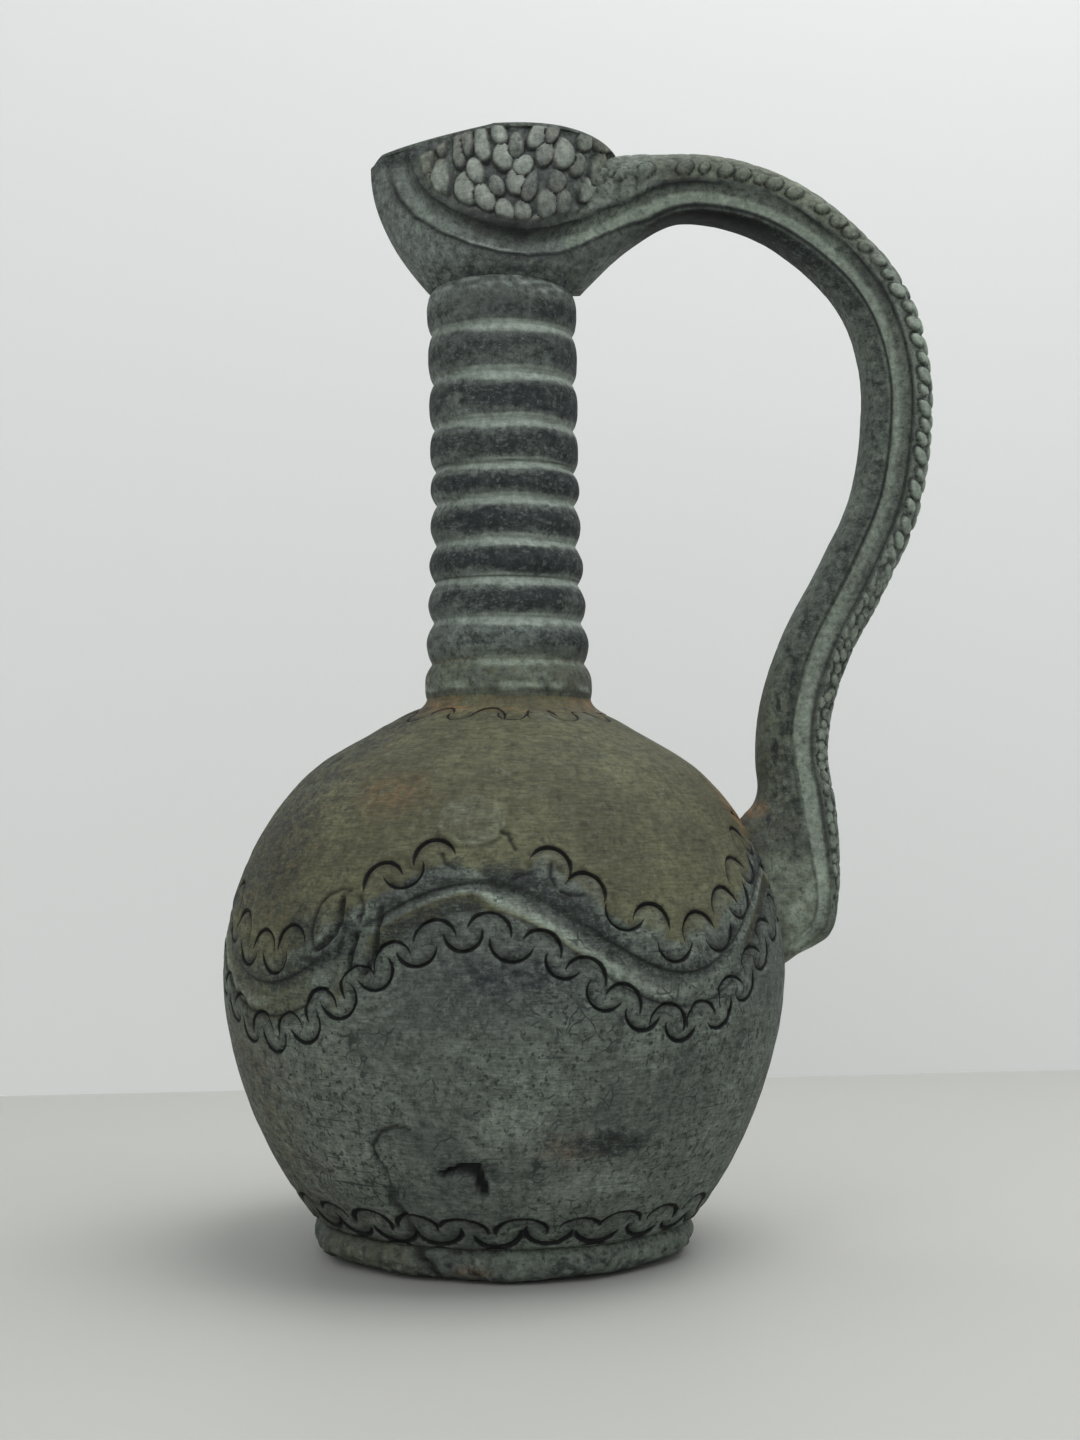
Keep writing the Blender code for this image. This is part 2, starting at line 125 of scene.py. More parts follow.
def lumps(points, length, seed):
    """Soft uneven field of about -1 to 1: sine waves of about one length in seeded directions, summed."""
    rng = np.random.default_rng(seed)
    total = np.zeros(points.shape[:-1])
    for _ in range(9):
        way = rng.normal(size=3)
        way *= 2 * math.pi / (length * rng.uniform(0.7, 1.4) * np.linalg.norm(way))
        total += np.sin(points @ way + rng.uniform(0, 2 * math.pi))
    return total / 4.5


def pebbles(along, across, spacing, seed, tilt=1.4):
    """Rounded stones in rows that lap like scales: height from 0 to 1, dark outline and each stone's tone.

    Every cell of the rows holds one seeded oval, wider below. A point's distance from an oval is
    measured in the oval's own radii. Where ovals lap, the one of the higher row lies on top. The outline is
    darkest under each stone, as a painted shadow.
    """
    rng = np.random.default_rng(seed)
    table = rng.uniform(0.0, 1.0, (64, 64, 5))
    row = np.floor(across / spacing).astype(int)
    top = np.full(along.shape, 9.0)
    tone = np.zeros(along.shape)
    under = np.zeros(along.shape)
    for i in (-1, 0, 1):
        shift = 0.5 * ((row + i) % 2)
        column = np.floor(along / spacing - shift).astype(int)
        for j in (-1, 0, 1):
            dice = table[(column + j) % 64, (row + i) % 64]
            u = (column + j + shift + 0.28 + 0.44 * dice[..., 0]) * spacing - along
            v = (row + i + 0.28 + 0.44 * dice[..., 1]) * spacing - across
            turn = tilt * (dice[..., 2] - 0.5)
            wide = spacing * (0.38 + 0.19 * dice[..., 3]) * (1 + 0.35 * np.clip(v / spacing, -0.6, 0.6))
            tall = spacing * (0.46 + 0.26 * dice[..., 4])
            x, y = turned(u, v, turn)
            y = y / tall
            far = np.hypot(x / wide, y)
            over = (far < 1) | (top > 1) & (far < top)
            tone = np.where(over, dice[..., 3], tone)
            under = np.where(over, y, under)
            top = np.where(over, far, top)
    height = (0.25 + 0.75 * np.sqrt(np.clip(1 - top**3, 0, 1))) * ease(1.10, 0.94, top)
    return height, hump(top - 1.0, 0.15) * (0.60 + 0.40 * np.clip(under, -1, 1)), tone


def buttons(along, across, places):
    """Flat round buttons at (along, across, radius): height from 0 to 1 and the dark outline round them."""
    nearest = np.full(along.shape, 9.0)
    for at, off, radius in places:
        nearest = np.minimum(nearest, np.hypot(along - at, across - off) / radius)
    return ease(1.0, 0.70, nearest), hump(nearest - 1.02, 0.15)


def grid_normals(points):
    """Unit normals of a grid that wraps round its columns: the cross product of its two directions."""
    down = np.gradient(points, axis=0)
    along = np.roll(points, -1, 1) - np.roll(points, 1, 1)
    normal = np.cross(along, down)
    return normal / np.linalg.norm(normal, axis=-1, keepdims=True)


def relieved(points, depth, middle):
    """Points of a grid moved out by a depth along its normals, where out is away from the middle."""
    normals = grid_normals(points)
    side = np.sign((normals * (points - middle)).sum(axis=-1).mean())
    return points + normals * (depth * side)[..., None]


def stack(x, y, z):
    """Join three arrays into one array of vectors."""
    return np.stack(np.broadcast_arrays(x, y, z), axis=-1)


def band(points, **fields):
    """One stretch of a skin: its grid of points, and its painted fields on the same grid."""
    return {"points": points, **fields}


def bridge(upper, lower):
    """Faces between two closed rings whose counts divide: a fan for each point of the shorter ring."""
    fine, short = (upper, lower) if len(upper) >= len(lower) else (lower, upper)
    step = len(fine) // len(short)
    home = short[(np.arange(len(fine)) + step // 2) // step % len(short)]
    ahead = np.roll(fine, -1)
    home_ahead = np.roll(home, -1)
    faces = np.stack([fine, ahead, home_ahead, home], axis=1)
    if fine is lower:
        faces = faces[:, ::-1]
    same = home == home_ahead
    whole = faces[~same]
    fans = np.stack([fine, ahead, home], axis=1)[same]
    if fine is lower:
        fans = fans[:, ::-1]
    return whole.tolist() + fans.tolist()


def skin_faces(bands):
    """Faces of a closed skin: quads inside each band, and a bridge from each band to the next, all round.

    A band of one point is a pole. Two poles in a row stay apart.
    """
    rings = []
    faces = []
    start = 0
    for part in bands:
        rows, columns = part["points"].shape[:2]
        index = start + np.arange(rows * columns).reshape(rows, columns)
        ahead = np.roll(index, -1, axis=1)
        quads = np.stack([index[:-1], ahead[:-1], ahead[1:], index[1:]], axis=-1)
        faces += quads.reshape(-1, 4).tolist()
        rings.append((index[0], index[-1]))
        start += rows * columns
    for (_, last), (first, _) in zip(rings, rings[1:] + rings[:1]):
        if len(last) > 1 or len(first) > 1:
            faces += bridge(last, first)
    return faces


def show(name, data):
    """Put a new object into the scene."""
    made = bpy.data.objects.new(name, data)
    bpy.context.scene.collection.objects.link(made)
    return made


def add_piece(name, bands, finish, nodes):
    """Make a piece from bands of points, write its painted fields, turn its faces outwards and mount it."""
    points = np.concatenate([part["points"].reshape(-1, 3) for part in bands]) * MM
    faces = skin_faces(bands)
    corners = np.array([face[:3] for face in faces])
    a, b, c = points[corners[:, 0]], points[corners[:, 1]], points[corners[:, 2]]
    if np.einsum("ij,ij->i", a, np.cross(b, c)).sum() < 0:
        faces = [face[::-1] for face in faces]
    mesh = bpy.data.meshes.new(name)
    mesh.from_pydata(points, [], faces)
    mesh.validate()
    mesh.shade_smooth()
    mesh.set_sharp_from_angle(angle=math.radians(SHARP_ANGLE))
    names = {key for part in bands for key in part} - {"points"}
    for key in sorted(names):
        values = [part.get(key, np.zeros(part["points"].shape)) for part in bands]
        flat = np.concatenate([value.reshape(-1, 3) for value in values])
        field = mesh.attributes.new(key, "FLOAT_VECTOR", "POINT")
        field.data.foreach_set("vector", flat.astype(np.float32).ravel())
    mesh.materials.append(finish)
    piece = show(name, mesh)
    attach(piece, "root")
    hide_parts(*nodes)
    return piece


# Belly

WAVE_TURNS = np.array([-52.5, -5.0, 36.0, 78.0, 122.0, 165.0, 210.0, 256.0, 307.5])
WAVE_LEVELS = np.array([75.5, 104.2, 79.5, 107.0, 78.0, 104.0, 77.0, 103.0, 75.5])


def belly_radius(z):
    """Outer radius: an ellipse above the widest circle and a fuller power curve below it."""
    below = np.clip((BELLY_Z - z) / UNDERSIDE_DROP, 0.0, 0.999)
    above = np.clip((z - BELLY_Z) / SHOULDER_RISE, 0.0, 0.999)
    under = (1 - below**UNDERSIDE_POWER) ** (1 / UNDERSIDE_POWER)
    slump = 2.5 * hump(z - 147.5, 6.0)
    return BELLY_RADIUS * np.where(z < BELLY_Z, under, np.sqrt(1 - above**2)) - slump


def belly_inside(z):
    """Radius of the inner wall."""
    above = np.clip((z - BELLY_Z) / (SHOULDER_RISE - WALL), 0.0, 0.999)
    return np.where(z < BELLY_Z, belly_radius(z) - WALL, (BELLY_RADIUS - WALL) * np.sqrt(1 - above**2))


def round_points(azimuth, radius, z):
    """Points at an azimuth, a radius and a height."""
    turn = np.radians(azimuth)
    return stack(radius * np.sin(turn), -radius * np.cos(turn), z)


def turns(columns):
    """Azimuths of a ring's columns."""
    return np.arange(columns) * 360.0 / columns


def wave_height(azimuth):
    """Middle of the carved wave: half cosine waves between its crests and troughs."""
    turn = (azimuth - WAVE_TURNS[0]) % 360.0 + WAVE_TURNS[0]
    i = np.clip(np.searchsorted(WAVE_TURNS, turn, "right") - 1, 0, len(WAVE_TURNS) - 2)
    share = (turn - WAVE_TURNS[i]) / (WAVE_TURNS[i + 1] - WAVE_TURNS[i])
    rise = WAVE_LEVELS[i + 1] - WAVE_LEVELS[i]
    return WAVE_LEVELS[i] + rise * (1 - np.cos(math.pi * share)) / 2


def wave_slope(azimuth):
    """Rise of the wave over distance round the belly."""
    return (wave_height(azimuth + 1) - wave_height(azimuth - 1)) / math.radians(2) / BELLY_RADIUS


def wave_half_width(azimuth):
    """Half height of the carved wave, measured upright, wider in the troughs and on the slopes."""
    level = (wave_height(azimuth) - 75.0) / 30.0
    return (4.5 - 0.9 * level) * np.sqrt(1 + wave_slope(azimuth) ** 2)


def seam_height(azimuth):
    """Lower edge of the carved wave, where the belly's two halves meet."""
    return wave_height(azimuth) - wave_half_width(azimuth)


def azimuth_from(azimuth, place):
    """Degrees from a place, the short way round."""
    return (azimuth - place + 180) % 360 - 180


def chain_stamps(count, start, level, wide, tall, seed, gap=(0.0, 0.0)):
    """Places of a chain of evenly spaced arcs along the wave, each a little off, none inside the gap."""
    rng = np.random.default_rng(seed)
    fine = np.linspace(start, start + 360.0, 2001)
    length = np.concatenate([[0.0], np.cumsum(np.sqrt(1 + wave_slope(fine[1:]) ** 2))])
    stamps = []
    for i in range(count):
        azimuth = np.interp(length[-1] * i / count, length, fine) + rng.normal(0, 0.45)
        z = wave_height(azimuth) + level + rng.normal(0, 0.4)
        tilt = math.atan(wave_slope(azimuth)) * 0.8 + rng.normal(0, 0.10)
        size = rng.normal(1.0, 0.04)
        reach = rng.uniform(1.5, 1.95)
        if not gap[0] < azimuth_from(azimuth, 0.0) < gap[1]:
            stamps.append((azimuth, float(z), wide * size, tall * size, tilt, reach))
    return stamps


def ring_stamps(count, start, z, wide, tall, seed):
    """Places of a level ring of stamped arcs."""
    rng = np.random.default_rng(seed)
    stamps = []
    for i in range(count):
        azimuth = start + 360.0 * i / count + rng.normal(0, 0.9)
        size = rng.normal(1.0, 0.07)
        tilt = rng.normal(0, 0.12)
        height = z + rng.normal(0, 0.3)
        stamps.append((azimuth, height, wide * size, tall * size, tilt, rng.uniform(1.5, 1.95)))
    return stamps


def placed_stamps(places, size, reach):
    """Single stamped arcs at (azimuth, height), tilted like the wave under them."""
    return [(place, z, size, size, 0.8 * math.atan(wave_slope(place)), reach) for place, z in places]


def arc_fields(azimuth, z, stamps, facing):
    """Signed distance to the nearest stamped arc, and a gate that is 1 along the arc and 0 past its ends.

    Each arc is an ellipse in the clay's own surface. Facing 1 opens downwards and -1 upwards.
    """
    nearest = np.full(azimuth.shape, 9.0)
    signed = np.full(azimuth.shape, 9.0)
    gate = np.zeros(azimuth.shape)
    for place, height, wide, tall, tilt, reach in stamps:
        radius = float(belly_radius(height))
        lean = float(belly_radius(height + 0.5) - belly_radius(height - 0.5))
        across = np.radians(azimuth_from(azimuth, place)) * radius
        up = (z - height) * math.sqrt(1 + lean**2)
        x, y = turned(across, up, tilt)
        x, y = x / wide, y / tall * facing
        far = np.hypot(x, y)
        closer = far < nearest
        turn = np.abs(np.arctan2(x, y))
        signed = np.where(closer, (far - 1) * (wide + tall) / 2, signed)
        gate = np.where(closer, 1 - ease(reach - 0.75, reach + 0.15, turn), gate)
        nearest = np.where(closer, far, nearest)
    return signed, gate


def strokes(azimuth, z, marks):
    """Bell-shaped marks along lines, strongest on the line, falling off over its width. The highest counts.

    A mark is (strength, width, points), and a point is (azimuth, height).
    """
    fields = []
    for strength, width, points in marks:
        best = np.full(azimuth.shape, 99.0)
        for (a0, z0), (a1, z1) in zip(points, points[1:]):
            radius = float(belly_radius((z0 + z1) / 2))
            run = math.radians(a1 - a0) * radius
            rise = z1 - z0
            across = np.radians(azimuth_from(azimuth, a0)) * radius
            best = np.minimum(best, np.hypot(*off_segment(across, z - z0, run, rise)))
        fields.append(strength * hump(best, width))
    return most(*fields)


def oval(around, z, place, height, wide, tall):
    """Distance from a place on the belly, in the radii of an oval: degrees wide and millimetres tall."""
    return np.hypot((around - place) / wide, (z - height) / tall)


def blot(*oval_values):
    """Bell-shaped blot that falls off over an oval."""
    return hump(oval(*oval_values), 1.0)


def leaf_cut(azimuth, z, place, height, length, width, tilt):
    """Leaf-shaped cut: 1 in the middle and 0 on its outline."""
    across = np.radians(azimuth_from(azimuth, place)) * float(belly_radius(height))
    along, side = turned(across, z - height, tilt)
    middle = 1 - (along / length) ** 2
    return np.clip(middle - np.abs(side / width) / most(middle, 0.05), 0, 1)


FRONT_CAPS = ((-24.5, 107.4), (-14.4, 113.6), (8.9, 111.6), (15.5, 104.9), (28.7, 96.5))
FRONT_CUPS = ((-20.8, 111.3), (23.5, 100.7), (33.7, 92.2))
CAPS = chain_stamps(38, -55.0, 13.2, 5.9, 6.4, 3, (-43.0, 31.0)) + placed_stamps(FRONT_CAPS, 5.6, 1.70)
CAPS += chain_stamps(42, -54.6, -9.2, 5.5, 5.3, 4)
CAPS += ring_stamps(26, -50.5, 15.4, 6.6, 4.6, 5)
CAPS += ring_stamps(13, -9.5, 152.0, 4.2, 4.6, 6)
CUPS = chain_stamps(38, -50.0, 12.6, 5.9, 6.2, 7, (-43.0, 36.5)) + placed_stamps(FRONT_CUPS, 5.6, 1.55)
CUPS += chain_stamps(42, -50.0, -8.7, 5.4, 5.2, 8)
CUPS += ring_stamps(26, -43.6, 14.8, 6.4, 4.8, 9)
CUPS += ring_stamps(13, 4.5, 152.6, 4.0, 4.2, 10)


# Marks of the tool and of wear on the belly: strength, width and points of each line
GOUGE = (
    (1.0, 0.8, ((-13.6, 32.0), (-10.4, 33.6), (-8.0, 34.2))),
    (1.0, 1.5, ((-9.0, 33.8), (-6.0, 34.0))),
    (1.0, 1.5, ((-6.0, 33.4), (-5.2, 30.7), (-4.8, 26.8))),
)
GOUGE_HALO = ((1.0, 3.2, ((-13.6, 32.4), (-10.0, 34.6), (-5.0, 35.0), (-2.6, 33.0))),)
CRESCENT = ((1.0, 0.7, ((-28.6, 34.5), (-28.7, 38.5), (-26.0, 42.6), (-22.4, 44.6), (-19.6, 43.8))),)
SCAR = (
    (1.0, 0.6, ((-28.6, 36.0), (-27.0, 32.5), (-26.4, 27.0))),
    (1.0, 1.2, ((-26.6, 26.4), (-27.6, 22.6), (-25.4, 19.6), (-24.2, 13.0))),
)
LEAF_CUTS = (
    (1.0, 0.95, ((-33.0, 102.9), (-32.7, 97.0), (-33.6, 94.2), (-35.6, 91.6), (-38.2, 90.0))),
    (1.0, 0.9, ((-24.0, 101.3), (-24.6, 96.0), (-24.8, 89.5), (-26.4, 84.4))),
    (1.0, 0.8, ((-28.9, 93.4), (-30.1, 88.6), (-29.9, 85.0))),
)
LEAF_LINES = (
    (1.0, 0.6, ((-38.6, 90.1), (-39.5, 94.0), (-39.0, 98.5), (-38.1, 101.8), (-36.3, 104.1))),
    (1.0, 0.6, ((-36.3, 104.1), (-33.4, 105.6), (-31.2, 105.2))),
    (1.0, 0.75, ((-28.8, 103.4), (-27.6, 101.5), (-28.2, 97.0))),
    (1.0, 0.8, ((-41.7, 87.3), (-38.6, 87.0), (-35.3, 88.2))),
    (0.7, 0.8, ((-31.6, 100.0), (-31.3, 94.5), (-33.4, 88.0))),
)
HOOKS = (
    (1.0, 0.6, ((-0.8, 120.5), (0.6, 120.0), (2.1, 116.1))),
    (1.0, 0.6, ((-12.9, 114.8), (-12.0, 112.4), (-9.9, 111.2))),
    (0.8, 0.6, ((-14.4, 107.2), (-7.9, 108.0), (-1.8, 107.8))),
    (0.9, 0.7, ((-1.0, 106.9), (0.8, 107.8), (2.6, 109.4), (5.2, 110.2))),
    (1.0, 0.6, ((9.3, 112.4), (8.9, 109.4), (9.9, 106.6))),
    (1.0, 0.7, ((10.7, 105.4), (12.6, 104.4), (15.4, 104.4))),
)
SMUDGE = ((1.0, 1.7, ((-2.4, 107.4), (0.4, 106.4), (3.4, 107.2))),)
STALK = ((1.0, 2.0, ((-27.2, 104.0), (-26.4, 96.0), (-27.4, 88.0), (-30.6, 82.0))),)


def belly_relief(azimuth, z):
    """Carving, stamps and wear on the belly: depth in millimetres and the painted fields, with painted
    highlights and painted shade among them.
    """
    around = azimuth_from(azimuth, 0.0)
    wave = wave_height(azimuth)
    slope = wave_slope(azimuth)
    half = wave_half_width(azimuth)
    above = z - wave
    across = above / half

    # Carved wave: a channel with a rib in it and two edges
    inside = 1 - ease(0.80, 1.02, np.abs(across))
    falling = ease(0.12, -0.12, slope)
    turning = ease(0.12, -0.30, slope)
    low = ease(88.0, 80.0, wave)
    high = ease(84.0, 96.0, wave)
    shift = 0.42 - 0.85 * turning - 0.45 * low * (1 - turning)
    covered = hump(around + 32.0, 6.0)
    strong = 0.70 + 0.30 * falling
    rib = hump(across - shift, 0.40 + 0.30 * falling + 0.10 * low) * inside * strong
    rib = rib * (1 - 0.7 * covered)
    crown = rib / strong * ease(92.0, 100.0, wave)
    edge = hump((np.abs(across) - 1) * half, 0.55) * (1 - 0.85 * covered)
    depth = -1.0 * inside + 0.8 * rib - 0.35 * edge

    # Stamped arcs, pressed deepest along their line
    cap, cap_gate = arc_fields(azimuth, z, CAPS, 1)
    cup, cup_gate = arc_fields(azimuth, z, CUPS, -1)
    near_neck = ease(143.0, 147.0, z)
    bite = 0.80 - 0.40 * near_neck
    for far, gate in ((cap, cap_gate), (cup, cup_gate)):
        pressed = 0.45 * ease(-3.6, -0.2, far) * ease(0.25, -0.25, far)
        depth -= bite * gate * (hump(far, 0.50) + pressed)

    # Cuts, scratches and the smoothed patch
    gouge = strokes(azimuth, z, GOUGE) + 0.12 * lumps(round_points(azimuth, 70.0, z), 3.5, 14)
    gouge = ease(0.25, 0.60, gouge)
    scar = strokes(azimuth, z, SCAR) + 0.30 * lumps(round_points(azimuth, 60.0, z), 4.0, 15)
    scar = ease(0.10, 0.75, scar)
    cuts = strokes(azimuth, z, LEAF_CUTS) + 0.25 * lumps(round_points(azimuth, 80.0, z), 5.0, 13)
    cuts = ease(0.15, 0.80, cuts)
    crescent, thin, hooks, smudge, stalk, halo = (
        strokes(azimuth, z, marks) for marks in (CRESCENT, LEAF_LINES, HOOKS, SMUDGE, STALK, GOUGE_HALO)
    )
    leaves = leaf_cut(azimuth, z, -35.6, 97.0, 8.6, 2.7, 1.15)
    patch_far = oval(around, z, -7.5, 123.5, math.degrees(10.5 / 73.0), 7.0)
    patch = ease(1.05, 0.90, patch_far)
    patch_edge = hump((patch_far - 1.0) * 8.0, 0.6)
    depth += -1.6 * gouge - 0.8 * crescent - 0.8 * scar + 0.30 * patch - 0.2 * patch_edge
    depth += 0.6 * leaves - 1.0 * cuts - 0.5 * most(thin, hooks) + 0.9 * stalk

    # Dark lines and pale places; the pale on the wave's rib and crowns is a painted highlight, brighter where
    # the wave falls
    facet = inside * ease(0.25, -0.30, across - shift) * high
    lines = most(
        0.9 * edge * (1 - high * np.where(across < 0, 0.6, 0.7 * falling)),
        gouge,
        0.9 * crescent,
        0.65 * scar,
        0.32 * patch_edge * ease(124.0, 119.0, z),
        0.82 * cuts,
        0.78 * thin,
        0.9 * hooks,
        0.6 * smudge,
    )
    fresh_middle = ease(1.1, 0.2, oval(around, z, 2.0, 47.0, 17.0, 15.0))
    fresh_low = ease(1.1, 0.3, oval(around, z, 20.0, 28.0, 26.0, 8.0))
    pale = most(
        # painted highlight along the wave's rib and on its crowns
        (0.49 + 0.10 * falling * (1 - low)) * rib,
        0.30 * inside * (1 - high),
        0.47 * crown,
        0.36 * most(stalk, ease(0.10, 0.5, leaves)),
        0.385 * patch,
        0.44 * most(fresh_middle, fresh_low),
    )

    # Olive shoulder, raw clay, and dark places: rubbed wear and stains, with painted shade under the rib
    # (facet), above the rib where the wave falls and over the left shoulder (shaded)
    gap = hump(around + 2.5, 6.5)
    right = ease(2.0, 8.0, around) * ease(62.0, 48.0, around)
    left = ease(-34.0, -41.0, around) * ease(-110.0, -80.0, around)
    left = left * ease(22.0, 12.0, above) * ease(-8.0, -5.0, above)
    left_low = ease(-20.0, -55.0, around) * ease(-12.0, -22.0, above)
    leafy = ease(-52.0, -43.0, around) * ease(-24.0, -29.0, around) * hump(z - 96.0, 10.0)
    shaded = ease(-18.0, -62.0, around) * ease(-130.0, -100.0, around) * ease(84.0, 104.0, z)
    start = 6.5 - 3.5 * gap + 2.0 * right
    olive = most(
        ease(start, start + 7.5 - 2.5 * gap, above) * (1 - 0.5 * right * ease(0.2, -1.2, cap)),
        0.75 * facet,
        0.42 * hump(around + 62.0, 24.0),
        0.50 * covered * ease(20.0, 8.0, np.abs(above)),
        0.52 * left,
    )
    olive = olive * (1 - 0.50 * leafy)
    collar = 0.35 + 0.65 * ease(35.0, 5.0, np.abs(around + 45.0))
    clay = most(
        0.7 * ease(151.5, 155.0, z) * collar,
        0.9 * ease(22.0, 8.0, np.abs(around - 90.0)) * hump(z - 125.0, 7.0),
        0.16 * blot(around, z, 13.5, 38.5, 6.0, 3.75),
        0.28 * blot(around, z, 16.0, 39.3, 8.0, 3.0),
        0.30 * blot(around, z, -29.5, 130.0, 9.0, 4.5),
        0.09 * most(left_low, shaded),
    )
    zone = np.where(above > 0, 0.60 * hump(above - 3.0, 9.0) * (1 - 0.6 * gap), 0.42 * hump(above, 12.5))
    # painted shade above the rib where the wave falls
    shade_above_rib = hump(above - half - 2.6, 3.4) * falling * high
    rubbed_and_shaded = (zone + 0.25 * facet + 0.40 * shade_above_rib) * (1 - rib)
    rubbed_and_shaded = most(rubbed_and_shaded, 0.54 * leafy, 0.34 * left) * (1 - 0.4 * most(stalk, leaves))
    blue = blot(around, z, 4.0, 84.0, 24.0, 12.0) * ease(-8.0, -12.0, above)
    rubbed_and_shaded = most(
        rubbed_and_shaded,
        0.75 * 1.05 * ease(1.25, 0.20, oval(around, z, 22.5, 39.6, 15.5, 5.4)),
        0.75 * 0.52 * ease(1.2, 0.1, oval(around, z, 43.0, 60.0, 19.0, 19.0)),
        0.36 * blot(around, z, -6.5, 112.0, 5.0, 4.0),
        0.54 * shaded,
        0.34 * left_low,
        0.52 * blue,
        0.60 * halo,
    )
    rubbed_and_shaded = rubbed_and_shaded * (1 - 0.7 * patch)
    cool = most(0.2 * (1 - olive), 0.9 * blue, 0.20 * shaded)
    thick = 1.0 + 0.6 * ease(28.0, 22.0, z)
    return depth, {
        "marks": stack(lines, pale, rubbed_and_shaded),
        "tints": stack(olive, clay, cool),
        "chain": stack(np.clip(cap, -4, 4), np.clip(cup, -4, 4), 0.0) / thick[..., None],
        "ends": stack(cap_gate, cup_gate, 0.0) * (1 - 0.28 * near_neck[..., None]),
    }


def belly_band(azimuth, z):
    """The belly's outside with its relief set along the surface normal, and slight thrower's unevenness."""
    radius = belly_radius(z)
    slope = (belly_radius(z + 0.05) - belly_radius(z - 0.05)) / 0.1
    length = np.sqrt(1 + slope**2)
    base = round_points(azimuth, radius, z)
    depth, fields = belly_relief(azimuth, z)
    depth = depth + 0.35 * lumps(base, 60.0, 11) + 0.07 * lumps(base, 9.0, 12)
    depth = depth * ease(SEAT_Z + 0.5, SEAT_Z - 3.0, z)
    points = round_points(azimuth, radius + depth / length, z - depth * slope / length)
    return band(points, **fields)


def ring(columns, radius, z):
    """A plain closed ring of points, or a pole when it has one column."""
    return band(round_points(turns(columns)[None, :], radius, z))


def rows(start, end, count):
    """Evenly spaced values as a column, for use across a grid."""
    return np.linspace(start, end, count)[:, None]


def grid(columns, count):
    """Azimuths of a grid of columns and rows."""
    return np.broadcast_to(turns(columns), (count, columns))


def inner_wall(azimuth, low, high, count, up):
    """Rows of the belly's inside between two heights, closer together near the top."""
    share = np.sin(np.linspace(0, math.pi / 2, count))[:, None]
    z = low + (high - low) * (share if up else share[::-1])
    z = np.broadcast_to(z, (count, azimuth.shape[1]))
    return band(round_points(azimuth, belly_inside(z), z))


def add_lower_bowl(finish):
    """Lower half of the belly, from the wave's lower edge down, with its floor and inner wall."""
    fine, middle, low = grid(FINE, 31), grid(MIDDLE, 60), grid(MIDDLE, 26)
    seam = seam_height(fine)
    stamped = seam + (wave_height(fine) - 19.0 - seam) * rows(0.0, 1.0, 31)
    share = rows(0.0, 1.0, 60)
    plain = (wave_height(middle) - 19.5) * (1 - share) + 24.5 * share
    footed = np.broadcast_to(rows(24.0, BOWL_Z + 1.0, 26), low.shape)
    coarse = turns(COARSE)[None, :]
    bands = [
        belly_band(fine, stamped),
        belly_band(middle, plain),
        belly_band(low, footed),
        ring(MIDDLE, FOOT_RADIUS - 0.6, BOWL_Z),
        ring(COARSE, 30.0, BOWL_Z),
        ring(1, 0.0, BOWL_Z),
        ring(1, 0.0, FLOOR_Z),
        ring(COARSE, FLOOR_RADIUS, FLOOR_Z),
        inner_wall(coarse, 22.0, seam_height(coarse), 14, True),
    ]
    return add_piece("lower_bowl_skin", bands, finish, ["lower_bowl"])


def add_upper_dome(finish):
    """Upper half of the belly, from the wave's lower edge up to the neck's seat, with its inner wall."""
    fine, high, middle, collar = grid(FINE, 17), grid(FINE, 38), grid(MIDDLE, 28), grid(MIDDLE, 28)
    wave = wave_height(fine) + wave_half_width(fine) * rows(-1.0, 1.0, 17)
    edge = wave_half_width(high) + 0.45
    stamped = wave_height(high) + edge + (22.0 - edge) * rows(0.0, 1.0, 38)
    start = np.arcsin((wave_height(middle) + 22.8 - BELLY_Z) / SHOULDER_RISE)
    angle = start + (math.radians(59.0) - start) * rows(0.0, 1.0, 28)
    top = math.acos(NECK_BASE_RADIUS / BELLY_RADIUS)
    collar_angle = np.broadcast_to(rows(math.radians(59.6), top, 28), collar.shape)
    coarse = turns(COARSE)[None, :]
    bands = [
        belly_band(fine, wave),
        belly_band(high, stamped),
        belly_band(middle, BELLY_Z + SHOULDER_RISE * np.sin(angle)),
        belly_band(collar, BELLY_Z + SHOULDER_RISE * np.sin(collar_angle)),
        ring(COARSE, NECK_HOLE_RADIUS, SEAT_Z),
        inner_wall(coarse, seam_height(coarse), INNER_TOP_Z, 16, False),
    ]
    return add_piece("upper_dome_skin", bands, finish, ["upper_dome", "belly_slip_ring"])


# Foot

